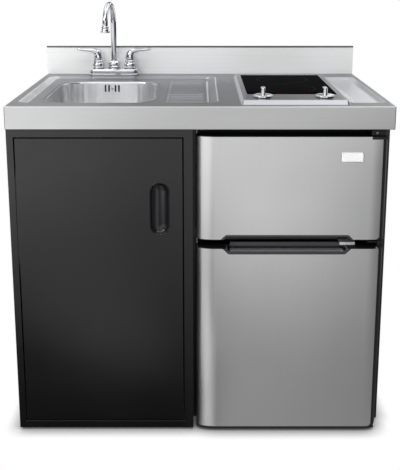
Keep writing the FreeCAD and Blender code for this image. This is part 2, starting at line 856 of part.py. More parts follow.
COLLAR_TOP = f"({BASE_TOP} + collar_height)"
SPOUT_BEND = "(deck_height + spout_crown - spout_diameter / 2 - spout_reach / 2)"
SPOUT_END = f"({SPOUT_BEND} - spout_drop)"


def make_spout():
    bore = "spout_diameter / 2 + running_gap"
    keep(turned("spout_collar", (TAP_X, TAP_Y, "0"), [
        (bore, BASE_TOP),
        ("collar_low / 2", BASE_TOP),
        ("collar_low / 2", f"{BASE_TOP} + collar_ring"),
        ("collar_high / 2", COLLAR_TOP),
        (bore, COLLAR_TOP),
    ]))
    body = doc.addObject("PartDesign::Body", "spout")
    path = body.newObject("Sketcher::SketchObject", "spout_path")
    path.AttachmentSupport = [(origin_feature(body, "YZ_Plane"), "")]
    path.MapMode = "FlatFace"
    foot, bend, end = value(BASE_TOP), value(SPOUT_BEND), value(SPOUT_END)
    radius = value("spout_reach / 2")
    path.addGeometry(Part.LineSegment(Vector(0, foot, 0), Vector(0, bend, 0)))
    circle = Part.Circle(Vector(-radius, bend, 0), Vector(0, 0, 1), radius)
    path.addGeometry(Part.ArcOfCircle(circle, 0, math.pi))
    path.addGeometry(Part.LineSegment(Vector(-2 * radius, bend, 0), Vector(-2 * radius, end, 0)))
    places = [(0, 1, ("0", BASE_TOP)), (0, 2, ("0", SPOUT_BEND)), (1, 3, ("-spout_reach / 2", SPOUT_BEND)),
              (2, 2, ("-spout_reach", SPOUT_END))]
    limits = [(kind, line, point, number) for line, point, place in places
              for kind, number in zip(("DistanceX", "DistanceY"), place)]
    for kind, line, point, number in limits + [("DistanceY", 1, 2, SPOUT_BEND)]:
        fixed = path.addConstraint(Sketcher.Constraint(kind, -1, 1, line, point, value(number)))
        path.setExpression(f"Constraints[{fixed}]", bound(number))
    path.addConstraint(Sketcher.Constraint("Coincident", 0, 2, 1, 1))
    path.addConstraint(Sketcher.Constraint("Coincident", 1, 2, 2, 1))
    section = body.newObject("Sketcher::SketchObject", "spout_section")
    section.AttachmentSupport = [(origin_feature(body, "XY_Plane"), "")]
    section.MapMode = "FlatFace"
    section.setExpression("AttachmentOffset.Base.z", bound(BASE_TOP))
    for index, reach in enumerate(("spout_diameter / 2", "spout_diameter / 2 - spout_wall")):
        section.addGeometry(Part.Circle(Vector(), Vector(0, 0, 1), value(reach)))
        section.addConstraint(Sketcher.Constraint("Coincident", index, 3, -1, 1))
        fixed = section.addConstraint(Sketcher.Constraint("Radius", index, value(reach)))
        section.setExpression(f"Constraints[{fixed}]", bound(reach))
    pipe = body.newObject("PartDesign::AdditivePipe", "spout_pipe")
    pipe.Profile = section
    pipe.Spine = (path, ["Edge1", "Edge2", "Edge3"])
    body.Tip = pipe
    body.Placement = Placement(Vector(), Rotation(Vector(0, 0, 1), -value("spout_yaw")))
    body.setExpression("Placement.Base.x", bound(TAP_X))
    body.setExpression("Placement.Base.y", bound(TAP_Y))
    keep(body)
    yaw = math.radians(value("spout_yaw"))
    tip = (f"{TAP_X} - spout_reach * {math.sin(yaw):.6f}",
           f"{TAP_Y} - spout_reach * {math.cos(yaw):.6f}", SPOUT_END)
    keep(turned("aerator", tip, [
        ("aerator_bore / 2", "-aerator_height"),
        ("aerator_low / 2", "-aerator_height"),
        ("aerator_low / 2", "-aerator_height + aerator_ring"),
        ("spout_diameter / 2", "0"),
        ("aerator_bore / 2", "0"),
    ]))


# hob

HOB_TOP = "(deck_height + hob_rise)"
GLASS_X = shrunk(HOB_X, "glass_side")
GLASS_Y = (f"({HOB_Y[0]} + glass_front)", f"({HOB_Y[1]} - glass_rear)")
GLASS_LOW = f"({HOB_TOP} - glass_thickness)"
STRIP_X = shrunk(HOB_X, "strip_side")
STRIP_Y = from_start(f"{HOB_Y[0]} + strip_front", "strip_length")
STRIP_LOW = f"({HOB_TOP} - strip_thickness)"
KNOB_Y = f"({HOB_Y[0]} + knob_front)"
KNOB_PLACES = {
    "left": f"({middle(HOB_X)} - knob_spread / 2)",
    "right": f"({middle(HOB_X)} + knob_spread / 2)",
}
LAMP_Y = f"({HOB_Y[0]} + lamp_front)"
LAMP_PLACES = [f"({middle(HOB_X)} - lamp_spread / 2)", f"({middle(HOB_X)} + lamp_spread / 2)"]


def make_hob():
    foot = rectangle(HOB_X, HOB_Y, "hob_corner")
    crown = rectangle(shrunk(HOB_X, "hob_bevel"), shrunk(HOB_Y, "hob_bevel"), "hob_corner - hob_bevel")
    form = tapered("hob_form", "XY_Plane", ("deck_height", foot), (HOB_TOP, crown))
    above = f"{HOB_TOP} + overrun"
    below = "deck_height - overrun"
    seat = prism("glass_seat", "XY_Plane", rectangle(GLASS_X, GLASS_Y, "glass_corner"), (GLASS_LOW, above))
    well = block("glass_well", shrunk(GLASS_X, "glass_ledge"), shrunk(GLASS_Y, "glass_ledge"),
                 (below, above))
    tray = block("strip_seat", STRIP_X, STRIP_Y, (STRIP_LOW, above))
    slot = block("strip_well", shrunk(STRIP_X, "strip_ledge"), shrunk(STRIP_Y, "strip_ledge"),
                 (below, above))
    keep(cut("hob_frame", form, seat, well, tray, slot))
    keep(prism("hob_glass", "XY_Plane", rectangle(GLASS_X, GLASS_Y, "glass_corner"), (GLASS_LOW, HOB_TOP)))
    through = grown((STRIP_LOW, HOB_TOP), "overrun")
    holes = [rod(f"{side}_strip_hole", "z", (x, KNOB_Y), through, "knob_stem + running_gap * 2")
             for side, x in KNOB_PLACES.items()]
    holes += [rod(f"lamp_hole_{i}", "z", (x, LAMP_Y), through, "lamp_diameter")
              for i, x in enumerate(LAMP_PLACES)]
    keep(cut("hob_panel", block("strip_plate", STRIP_X, STRIP_Y, (STRIP_LOW, HOB_TOP)), *holes))
    lamp_z = (f"{HOB_TOP} - lamp_length", f"{HOB_TOP} + lamp_proud")
    lamps = [rod(f"lamp_{i}", "z", (x, LAMP_Y), lamp_z, "lamp_diameter")
             for i, x in enumerate(LAMP_PLACES)]
    keep(group("indicator_lamps", *lamps))


def make_hob_inside():
    margin = "hob_cut_margin + pan_play"
    span_x, span_y = shrunk(HOB_X, margin), shrunk(HOB_Y, margin)
    outer = block("pan_outer", span_x, span_y, ("deck_height - pan_depth", "deck_height"))
    inner = block("pan_inner", shrunk(span_x, "pan_sheet"), shrunk(span_y, "pan_sheet"),
                  ("deck_height - pan_depth + pan_sheet", "deck_height + overrun"))
    keep(cut("hob_pan", outer, inner))
    element_z = (f"{GLASS_LOW} - element_height", GLASS_LOW)
    offset = "(element_diameter + element_gap) / 2"
    elements = [rod(f"{name}_element", "z", (middle(HOB_X), f"{middle(GLASS_Y)} + ({sign}) * {offset}"),
                    element_z, "element_diameter") for name, sign in (("front", -1), ("rear", 1))]
    keep(group("heating_elements", *elements))
    switches = []
    for side, x in KNOB_PLACES.items():
        body = block(f"{side}_switch_body", about(x, "switch_side"), about(KNOB_Y, "switch_side"),
                     (f"{STRIP_LOW} - switch_height", STRIP_LOW))
        bore = rod(f"{side}_switch_bore", "z", (x, KNOB_Y),
                   (f"{HOB_TOP} - knob_stem_length - soft_gap", HOB_TOP), "knob_stem + running_gap * 2")
        switches.append(cut(f"{side}_switch", body, bore))
    keep(group("hob_switches", *switches))
    clamps = []
    foot_z = (f"{UNDER_DECK} - landing_drop - clamp_height", f"{UNDER_DECK} - landing_drop")
    sides = {"left": (f"{span_x[0]} - clamp_width", span_x[0]),
             "right": (span_x[1], f"{span_x[1]} + clamp_width")}
    for side, clamp_x in sides.items():
        for end, y in zip(("front", "rear"), shrunk(span_y, "clamp_from_end")):
            clamps.append(block(f"{side}_{end}_clamp", clamp_x, about(y, "clamp_width"), foot_z))
    keep(group("hob_clamps", *clamps))


def make_knob(side):
    """Hob knob: round skirt, bar grip and the stem that turns the switch."""
    x = KNOB_PLACES[side]
    low = f"({HOB_TOP} + soft_gap)"
    skirt = turned(f"{side}_skirt", (x, KNOB_Y, "0"), [
        ("0", f"{HOB_TOP} - knob_stem_length"),
        ("knob_stem / 2", f"{HOB_TOP} - knob_stem_length"),
        ("knob_stem / 2", low),
        ("knob_diameter / 2", low),
        ("knob_diameter / 2", f"{low} + knob_skirt - knob_edge"),
        ("knob_diameter / 2 - knob_edge", f"{low} + knob_skirt"),
        ("0", f"{low} + knob_skirt"),
    ])
    bar_outline = rectangle(about(x, "knob_bar"), about(KNOB_Y, "knob_bar_length"), "knob_bar / 2")
    bar = prism(f"{side}_bar", "XY_Plane", bar_outline,
                (f"{low} + knob_skirt / 2", f"{low} + knob_height"))
    doc.recompute()
    bar = soften(f"{side}_bar_round", bar, "knob_edge", lies_at("z", f"{low} + knob_height"))
    keep(join(f"{side}_knob", skirt, bar))


# cabinet

CABINET_X = from_start(LEFT, "cabinet_width")
FACE = f"({FRONT} + cabinet_setback)"
FRAME_BACK = f"({FACE} + frame_depth)"
CABINET_Z = ("foot_height", APRON_LOW)
OPENING_X = (f"{LEFT} + left_stile", f"{CABINET_X[1]} - right_stile")
OPENING_Z = ("foot_height + bottom_rail", f"{APRON_LOW} - top_rail")
DOOR_X = shrunk(OPENING_X, "door_gap")
DOOR_Z = shrunk(OPENING_Z, "door_gap")
DOOR_BACK = f"({FACE} + door_depth)"
PIN_X = f"({DOOR_X[0]} + pin_inset)"
PIN_Y = f"({FACE} + pin_inset)"
PANEL_Y = (FRAME_BACK, SPLASH_FACE)
FRIDGE_X = from_start(f"{CABINET_X[1]} + fridge_gap", "fridge_width")
END_X = from_start(f"{FRIDGE_X[1]} + end_panel_gap", "end_panel_depth")


def tray(name, x, y, z, open_side, gauge):
    """Folded sheet panel: a box hollowed from one side."""
    spans = dict(zip("xyz", (x, y, z)))
    hollow = {axis: shrunk(span, gauge) for axis, span in spans.items()}
    axis, end = open_side
    low, high = hollow[axis]
    past_low, past_high = grown(spans[axis], "overrun")
    hollow[axis] = (past_low, high) if end == "low" else (low, past_high)
    return cut(name, block(f"{name}_outer", x, y, z), block(f"{name}_hollow", *hollow.values()))


def make_cabinet():
    ring_y = (FACE, FRAME_BACK)
    ring = cut("frame_ring", block("frame_outer", CABINET_X, ring_y, CABINET_Z),
               block("frame_opening", OPENING_X, grown(ring_y, "overrun"), OPENING_Z))
    inside_x = shrunk(CABINET_X, "panel_sheet")
    channel = cut("frame_channel",
                  block("channel_outer", inside_x, (f"{FACE} + panel_sheet", f"{FRAME_BACK} + overrun"),
                        shrunk(CABINET_Z, "panel_sheet")),
                  block("channel_inner", grown(OPENING_X, "panel_sheet"), grown(ring_y, "overrun * 2"),
                        grown(OPENING_Z, "panel_sheet")))
    keep(cut("cabinet_face_frame", ring, channel))
    keep(tray("cabinet_left_side", from_start(LEFT, "panel_depth"), PANEL_Y, CABINET_Z,
              ("x", "high"), "panel_sheet"))
    wall = tray("partition_wall", (f"{CABINET_X[1]} - panel_depth", CABINET_X[1]), PANEL_Y, CABINET_Z,
                ("x", "low"), "panel_sheet")
    stop_y = from_start(f"{FRONT} + stop_setback", "panel_sheet")
    stop_x = (CABINET_X[1], f"{CABINET_X[1]} + fridge_gap + shell_inset - soft_gap")
    stop = block("partition_stop", stop_x, stop_y, CABINET_Z)
    keep(join("cabinet_partition", wall, stop))
    back_y = (f"{SPLASH_FACE} - panel_sheet * 2", f"{SPLASH_FACE} - panel_sheet")
    floor_z = ("foot_height + panel_sheet", "foot_height + bottom_rail")
    keep(tray("cabinet_floor", inside_x, (f"{FRAME_BACK} + panel_sheet", back_y[0]), floor_z,
              ("z", "low"), "panel_sheet"))
    sheet_back = block("back_sheet", inside_x, back_y, (floor_z[0], f"{APRON_LOW} - panel_sheet"))
    service_x = about(middle(CABINET_X), "service_width")
    service_z = from_start("service_low", "service_height")
    service = prism("service_hole", "XZ_Plane", rectangle(service_x, service_z, "panel_depth"),
                    grown(back_y, "overrun"))
    keep(cut("cabinet_back", sheet_back, service))
    keep(tray("right_end_panel", END_X, (f"{FRONT} + end_panel_setback", SPLASH_FACE), CABINET_Z,
              ("x", "low"), "panel_sheet"))
    catch_z = from_start(f"{OPENING_Z[1]} - catch_from_top", "catch_height")
    partition_left = f"{CABINET_X[1]} - panel_depth"
    keep(block("magnetic_catch", (f"{partition_left} - catch_width", partition_left),
               from_start(FRAME_BACK, "catch_depth"), catch_z))
    feet = []
    stands = {"left": (f"{LEFT} + panel_depth / 2", PANEL_Y[0]),
              "middle": (f"{CABINET_X[1]} - panel_depth / 2", PANEL_Y[0]),
              "right": (middle(END_X), f"{FRONT} + end_panel_setback")}
    for name, (x, front) in stands.items():
        for end, y in {"front": f"{front} + foot_inset", "rear": f"{SPLASH_FACE} - foot_inset"}.items():
            feet.append(rod(f"{name}_{end}_foot", "z", (x, y), ("0", "foot_height"), "foot_diameter"))
    return feet


PULL_X = about(f"{DOOR_X[1]} - pull_from_right", "pull_width")
PULL_Z = about("deck_height - pull_below_deck", "pull_height")


def make_cabinet_door():
    door_y = (FACE, DOOR_BACK)
    pan = tray("door_pan", DOOR_X, door_y, DOOR_Z, ("y", "high"), "panel_sheet")
    oval = prism("pull_hole", "XZ_Plane", rectangle(PULL_X, PULL_Z, "pull_width / 2"),
                 grown((FACE, f"{FACE} + panel_sheet"), "overrun"))
    bores = [rod(f"pin_bore_{i}", "z", (PIN_X, PIN_Y), grown((z, z), "pin_reach * 2"),
                 "pin_diameter + running_gap * 2") for i, z in enumerate(DOOR_Z)]
    keep(cut("cabinet_door", pan, oval, *bores))
    keep(block("cabinet_door_inner", shrunk(DOOR_X, "panel_sheet"),
               (f"{DOOR_BACK} - panel_sheet", DOOR_BACK), shrunk(DOOR_Z, "panel_sheet")))
    cup = prism("pull_outer", "XZ_Plane", rectangle(PULL_X, PULL_Z, "pull_width / 2"),
                (FACE, f"{FACE} + pull_depth"))
    lip = prism("pull_rim", "XZ_Plane", rectangle(PULL_X, PULL_Z, "pull_width / 2", "pull_lip"),
                (f"{FACE} - pull_proud", FACE))
    room_outline = rectangle(shrunk(PULL_X, "pull_wall"), shrunk(PULL_Z, "pull_wall"),
                             "pull_width / 2 - pull_wall")
    room = prism("pull_room", "XZ_Plane", room_outline,
                 (f"{FACE} - pull_proud - overrun", f"{FACE} + pull_depth - pull_wall"))
    keep(cut("door_pull", join("pull_solid", cup, lip), room))
    spans = ((OPENING_Z[0], f"{DOOR_Z[0]} + pin_reach"), (f"{DOOR_Z[1]} - pin_reach", OPENING_Z[1]))
    keep(group("cabinet_hinge_pins", *[rod(f"hinge_pin_{i}", "z", (PIN_X, PIN_Y), span, "pin_diameter")
                                       for i, span in enumerate(spans)]))


# fridge

ICE_FRONT = f"({FRONT} + door_setback)"
ICE_REAR = f"({ICE_FRONT} + ice_door_depth)"
SHELL_FRONT = f"({ICE_REAR} + gasket_depth)"
SHELL_X = shrunk(FRIDGE_X, "shell_inset")
SHELL_Y = from_start(SHELL_FRONT, "shell_depth")
SHELL_Z = ("fridge_foot_height", f"{APRON_LOW} - shell_gap")
CAVITY_X = shrunk(SHELL_X, "wall_foam")
CAVITY_BACK = f"({SHELL_Y[1]} - back_foam)"
STEP_BACK = f"({SHELL_Y[1]} - step_depth - back_foam)"
STEP_TOP = "(fridge_foot_height + step_height + back_foam)"
FREEZER_Z = ("freezer_low", "freezer_high")
FRIDGE_Z = ("fridge_low", "fridge_high")


def cavity(name, margin, mouth):
    """The two compartments as solids, drawn in by a margin and run out past the front by a mouth."""
    x = shrunk(CAVITY_X, margin)
    start = f"{SHELL_FRONT} - {mouth}"
    freezer = block(f"{name}_freezer", x, (start, f"{CAVITY_BACK} - {margin}"), shrunk(FREEZER_Z, margin))
    upper = block(f"{name}_upper", x, (start, f"{CAVITY_BACK} - {margin}"),
                  (f"{STEP_TOP} + {margin}", f"{FRIDGE_Z[1]} - {margin}"))
    lower = block(f"{name}_lower", x, (start, f"{STEP_BACK} - {margin}"), shrunk(FRIDGE_Z, margin))
    return freezer, join(f"{name}_fridge", upper, lower)


def make_fridge():
    recess = block("compressor_recess", shrunk(SHELL_X, "wall_foam / 2"),
                   (f"{SHELL_Y[1]} - step_depth", f"{SHELL_Y[1]} + overrun"),
                   ("fridge_foot_height + base_plate", "fridge_foot_height + step_height"))
    keep(cut("fridge_shell", block("shell_block", SHELL_X, SHELL_Y, SHELL_Z), recess,
             *cavity("shell_room", "0", "overrun")))
    outer, inner = cavity("liner_outer", "0", "0"), cavity("liner_inner", "liner_sheet", "overrun")
    liners = [cut(f"{name}_liner", *pair) for name, *pair in zip(("freezer", "fridge"), outer, inner)]
    keep(group("compartment_liners", *liners))
    inside_x = shrunk(CAVITY_X, "liner_sheet")
    shelf_y = (f"{SHELL_FRONT} + shelf_front", f"{CAVITY_BACK} - liner_sheet")
    step = f"({STEP_TOP} + liner_sheet)"
    keep(group("fridge_shelves", *[block(f"{name}_shelf", inside_x, shelf_y, from_start(z, "shelf_glass"))
                                   for name, z in (("lower", step), ("upper", "upper_shelf_height"))]))
    crisper_y = (shelf_y[0], f"{STEP_BACK} - liner_sheet - crisper_side")
    keep(tray("crisper_drawer", shrunk(inside_x, "crisper_side"), crisper_y,
              from_start("fridge_low + liner_sheet", "crisper_height"), ("z", "high"), "crisper_wall"))
    rail_y = (f"{SHELL_Y[1]} - rail_depth", SHELL_Y[1])
    keep(tray("rear_rail", (CABINET_X[1], END_X[0]), rail_y, (SHELL_Z[1], APRON_LOW),
              ("z", "high"), "panel_sheet"))


def make_feet(cabinet_feet):
    columns, rows = shrunk(SHELL_X, "fridge_foot_diameter"), shrunk(SHELL_Y, "fridge_foot_diameter")
    places = [(x, y) for x in columns for y in rows]
    fridge_feet = [rod(f"fridge_foot_{i}", "z", place, ("0", "fridge_foot_height"), "fridge_foot_diameter")
                   for i, place in enumerate(places)]
    keep(group("levelling_feet", *cabinet_feet, *fridge_feet))


def make_compressor():
    low = "(fridge_foot_height + base_plate)"
    high = f"({low} + compressor_height)"
    radius = "compressor_diameter / 2"
    place = (f"{SHELL_X[0]} + compressor_from_left", f"{SHELL_Y[1]} - step_depth / 2", "0")
    keep(turned("compressor", place, [
        ("0", low),
        (f"{radius} - compressor_dome / 2", low),
        (radius, f"{low} + compressor_dome"),
        (radius, f"{high} - compressor_dome"),
        (f"{radius} - compressor_dome", high),
        ("0", high),
    ]))


def make_thermostat():
    roof = f"({FRIDGE_Z[1]} - liner_sheet)"
    x = (f"{CAVITY_X[1]} - stat_side - stat_width", f"{CAVITY_X[1]} - stat_side")
    y = from_start(f"{SHELL_FRONT} + stat_front", "stat_depth")
    z = (f"{roof} - stat_height", roof)
    centre = (middle(x), middle(z))
    bore = rod("stat_bore", "y", centre, (f"{y[0]} - overrun", f"{y[0]} + stat_shaft_length + soft_gap"),
               "stat_shaft + running_gap * 2")
    keep(cut("thermostat_housing", block("stat_case", x, y, z), bore))
    dial_y = (f"{y[0]} - soft_gap - stat_knob_depth", f"{y[0]} - soft_gap")
    dial = rod("stat_dial", "y", centre, dial_y, "stat_knob")
    shaft_y = (f"{y[0]} - stat_knob_depth", f"{y[0]} + stat_shaft_length")
    shaft = rod("stat_shaft_rod", "y", centre, shaft_y, "stat_shaft")
    keep(join("thermostat_knob", dial, shaft))


HINGE_X = f"({FRIDGE_X[1]} - hinge_inset)"
HINGE_Y = f"({ICE_REAR} - hinge_from_rear)"
UPPER_Z = ("upper_door_low", "upper_door_high")
LOWER_Z = ("lower_door_low", "lower_door_high")
MIDDLE_PLATE = about("(lower_door_high + upper_door_low) / 2", "hinge_plate")


def make_hinges():
    plate_x = (f"{FRIDGE_X[1]} - shell_inset - hinge_width", f"{FRIDGE_X[1]} - shell_inset")
    nose = f"{HINGE_Y} - hinge_nose"
    pin = (HINGE_X, HINGE_Y)
    top_z = from_start(SHELL_Z[1], "hinge_plate")
    top = join("top_hinge", block("top_plate", plate_x, (nose, f"{SHELL_FRONT} + hinge_tail"), top_z),
               rod("top_pin", "z", pin, (f"{UPPER_Z[1]} - hinge_reach", top_z[1]), "hinge_pin"))
    centre_z = about("(lower_door_high + upper_door_low) / 2", "hinge_flange * 2")
    flange_y = (f"{SHELL_FRONT} - hinge_plate", SHELL_FRONT)
    centre_pin_z = (f"{LOWER_Z[1]} - hinge_reach", f"{UPPER_Z[0]} + hinge_reach")
    centre = join("centre_hinge", block("centre_plate", plate_x, (nose, SHELL_FRONT), MIDDLE_PLATE),
                  block("centre_flange", plate_x, flange_y, centre_z),
                  rod("centre_pin", "z", pin, centre_pin_z, "hinge_pin"))
    low_z = (f"{LOWER_Z[0]} - soft_gap - hinge_plate", f"{LOWER_Z[0]} - soft_gap")
    low = join("bottom_hinge", block("bottom_plate", plate_x, (nose, SHELL_FRONT), low_z),
               block("bottom_flange", plate_x, flange_y, (low_z[0], f"{LOWER_Z[0]} + hinge_flange")),
               rod("bottom_pin", "z", pin, (low_z[0], f"{LOWER_Z[0]} + hinge_reach"), "hinge_pin"))
    keep(group("door_hinges", top, centre, low))


GRIP_X = from_start(f"{FRIDGE_X[0]} + grip_left", "grip_width")
GRIP_Y = from_start(ICE_FRONT, "grip_depth")


def grip_corners(edge, inward, margin):
    """Pocket outline with slanted ends, open past the door's edge, drawn in by a margin."""
    left, right = shrunk(GRIP_X, margin)
    deep = f"({edge}) + ({inward}) * (grip_rise - {margin})"
    out = f"({edge}) - ({inward}) * overrun"
    corners = [(left, out), (right, out), (right, edge), (f"{right} - grip_rise", deep),
               (f"{left} + grip_rise", deep), (left, edge)]
    return corners if inward == 1 else corners[::-1]


def door_form(name, z, margin):
    """Door block with rounded upright front edges, drawn in by a margin."""
    left, right = shrunk(FRIDGE_X, margin)
    radius = f"door_edge_radius - {margin}"
    front = f"{ICE_FRONT} + {margin}"
    plan = [(left, front, radius), (right, front, radius), (right, ICE_REAR), (left, ICE_REAR)]
    return prism(name, "XY_Plane", plan, z)


def make_ice_door(name, z, edge, inward, foot, low_corner):
    """Fridge or freezer door: stainless skin, black panel, inner liner, seal and moulded grip."""
    left, right = FRIDGE_X
    face = [(left, z[0]), (right, z[0], low_corner), (right, z[1]), (left, z[1])]
    outer = overlap(f"{name}_outer", door_form(f"{name}_block", z, "0"),
                    prism(f"{name}_face", "XZ_Plane", face, grown((ICE_FRONT, ICE_REAR), "overrun")))
    inner = door_form(f"{name}_inner", grown(z, "overrun"), "skin_sheet")
    skin_x = (f"{FRIDGE_X[0]} - overrun", f"{FRIDGE_X[1]} - skin_border")
    skin_z = (f"{z[0]} + {foot}", z[1])
    window = prism(f"{name}_window", "XZ_Plane", rectangle(skin_x, skin_z, "skin_corner"),
                   (f"{ICE_FRONT} - overrun", f"{ICE_FRONT} + skin_wrap"))
    pocket_y = (f"{ICE_FRONT} - overrun", GRIP_Y[1])
    pocket = prism(f"{name}_pocket", "XZ_Plane", grip_corners(edge, inward, "0"), pocket_y)
    wrap = cut(f"{name}_wrap", overlap(f"{name}_front", outer, window), inner)
    keep(cut(f"{name}_skin", wrap, pocket))
    pins = [rod(f"{name}_bore_{i}", "z", (HINGE_X, HINGE_Y),
                grown((level, level), "hinge_reach + soft_gap"), "hinge_pin + running_gap * 2")
            for i, level in enumerate(z)]
    core = cut(f"{name}_core", outer, wrap)
    keep(cut(f"{name}_panel", core, pocket, *pins))
    room = prism(f"{name}_room", "XZ_Plane", grip_corners(edge, inward, "grip_wall"),
                 (f"{ICE_FRONT} - overrun", f"{GRIP_Y[1]} - grip_wall"))
    socket = prism(f"{name}_socket", "XZ_Plane", grip_corners(edge, inward, "0"), GRIP_Y)
    lining = overlap(f"{name}_lining", socket,
                     block(f"{name}_reach", FRIDGE_X, (ICE_FRONT, ICE_REAR), z))
    keep(cut(f"{name}_grip", lining, room))


def make_ice_door_inside(name, z, cavity_z):
    """Inner liner pan and magnetic seal on the back of one door."""
    liner_x, liner_z = shrunk(CAVITY_X, "door_liner_gap"), shrunk(cavity_z, "door_liner_gap")
    liner_y = from_start(ICE_REAR, "door_liner_depth")
    keep(tray(f"{name}_liner", liner_x, liner_y, liner_z, ("y", "high"), "door_liner_wall / 2"))
    seal_x = (f"{FRIDGE_X[0]} + seal_side", f"{HINGE_X} - shell_inset")
    seal_z = shrunk(z, "seal_end")
    seal_y = (ICE_REAR, f"{SHELL_FRONT} - soft_gap")
    hole = block(f"{name}_seal_hole", shrunk(seal_x, "seal_width"), grown(seal_y, "overrun"),
                 shrunk(seal_z, "seal_width"))
    keep(cut(f"{name}_gasket", block(f"{name}_seal_outer", seal_x, seal_y, seal_z), hole))


def make_bins():
    x = from_start(f"{FRIDGE_X[0]} + bin_left", "bin_width")
    y = from_start(f"{ICE_REAR} + door_liner_wall / 2", "bin_depth")
    lows = {"lower": "lower_bin_low", "upper": "upper_bin_low"}
    keep(group("door_bins", *[tray(f"{name}_bin", x, y, from_start(low, "bin_height"), ("z", "high"),
                                   "bin_wall") for name, low in lows.items()]))


def make_doors():
    make_ice_door("freezer_door", UPPER_Z, UPPER_Z[0], 1, "0", "0")
    make_ice_door("fridge_door", LOWER_Z, LOWER_Z[1], -1, "skin_foot", "border_corner")
    make_ice_door_inside("freezer_door", UPPER_Z, FREEZER_Z)
    make_ice_door_inside("fridge_door", LOWER_Z, FRIDGE_Z)
    make_bins()


def check_and_write():
    """Stop on any failed object, then write each sub-part."""
    doc.recompute()
    failed = [o.Name for o in doc.Objects if "Invalid" in o.State or "Error" in o.State]
    bad = [p.Name for p in pieces if p.Shape.isNull() or not p.Shape.isValid() or not p.Shape.Solids]
    if failed or bad:
        raise RuntimeError(f"failed objects {failed}, bad shapes {bad}")
    os.makedirs("parts", exist_ok=True)
    for piece in pieces:
        piece.Shape.exportStep(f"parts/{piece.Label}.step")
        print(piece.Label, len(piece.Shape.Solids), round(piece.Shape.Volume))


make_worktop()
make_backsplash()
make_sink()
make_drain()
make_basket()
make_overflow()
make_tap_base()
make_bonnets()
make_lever("hot", -1)
make_lever("cold", 1)
make_spout()
make_hob()
make_hob_inside()
make_knob("left")
make_knob("right")
cabinet_feet = make_cabinet()
make_cabinet_door()
make_fridge()
make_feet(cabinet_feet)
make_compressor()
make_thermostat()
make_hinges()
make_doors()
check_and_write()
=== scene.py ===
import json
import math

import bmesh
import bpy
from mathutils import Matrix, Vector


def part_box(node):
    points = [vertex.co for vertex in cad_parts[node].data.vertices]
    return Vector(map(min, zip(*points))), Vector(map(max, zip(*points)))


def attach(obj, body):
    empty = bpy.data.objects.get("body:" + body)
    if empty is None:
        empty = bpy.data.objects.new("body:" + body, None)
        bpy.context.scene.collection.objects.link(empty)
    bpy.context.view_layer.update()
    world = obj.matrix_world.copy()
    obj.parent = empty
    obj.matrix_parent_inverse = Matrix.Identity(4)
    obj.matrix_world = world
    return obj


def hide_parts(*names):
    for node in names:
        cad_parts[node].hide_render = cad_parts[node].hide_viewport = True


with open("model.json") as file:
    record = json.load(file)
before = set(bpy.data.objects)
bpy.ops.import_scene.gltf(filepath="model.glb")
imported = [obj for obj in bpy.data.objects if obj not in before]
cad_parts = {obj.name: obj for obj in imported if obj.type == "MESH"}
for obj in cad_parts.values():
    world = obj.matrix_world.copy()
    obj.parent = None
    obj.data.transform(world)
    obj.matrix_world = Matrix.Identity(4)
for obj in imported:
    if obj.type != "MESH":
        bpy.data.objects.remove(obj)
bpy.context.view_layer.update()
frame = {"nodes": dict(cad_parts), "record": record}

# Compact kitchenette dressed over its CAD frame. Metres, +Z up, front towards -Y.

SCENE = bpy.context.scene
NODES = frame["nodes"]
BODY_OF = {node: body for body, nodes in frame["record"]["behaviour"]["bodies"].items() for node in nodes}
SLOT_OF = {part["node"]: part["material_slot"] for part in frame["record"]["subparts"]}

ROUND_STEPS = 48
CORNER_STEPS = 10
QUARTER = math.pi / 2
# Crease angles, above which shading stays sharp.
SMOOTH_LIMIT = math.radians(32)
DECK_LIMIT = math.radians(28)
BOWL_LIMIT = math.radians(45)
PULL_LIMIT = math.radians(50)
TUBE_LIMIT = math.radians(60)
# Edges sharper than this are rounded, and faces flatter than this are merged.
SHARP_ANGLE = math.radians(50)
FLAT_ANGLE = math.radians(0.5)
WELD = 1e-6


# shader nodes

def spread(tree, source, low, high, first, last, shape="SMOOTHSTEP", clamp=True):
    """Change from one value to another over a span."""
    change = tree.nodes.new("ShaderNodeMapRange")
    change.interpolation_type = shape
    change.clamp = clamp
    for socket, value in {"From Min": low, "From Max": high, "To Min": first, "To Max": last}.items():
        change.inputs[socket].default_value = value
    tree.links.new(source, change.inputs["Value"])
    return change.outputs["Result"]


def mixed(tree, share, first, second):
    mix = tree.nodes.new("ShaderNodeMix")
    for socket, value in zip(("Factor", "A", "B"), (share, first, second)):
        tree.links.new(value, mix.inputs[socket])
    return mix.outputs["Result"]


def combined(tree, operation, *sources):
    node = tree.nodes.new("ShaderNodeMath")
    node.operation = operation
    for socket, source in zip(node.inputs, sources):
        tree.links.new(source, socket)
    return node.outputs[0]


def product(tree, total, *others):
    for other in others:
        total = combined(tree, "MULTIPLY", total, other)
    return total


def axes_of(tree, coords):
    """X, Y and Z of the object's own coordinates."""
    axes = tree.nodes.new("ShaderNodeSeparateXYZ")
    tree.links.new(coords.outputs["Object"], axes.inputs["Vector"])
    return axes.outputs


def node_material(name):
    material = bpy.data.materials.new(name)
    material.use_nodes = True
    return material, material.node_tree


# finishes

NOISE_SPAN = (0.2, 0.8)
MOTTLE_STOPS = (0.3, 0.7)


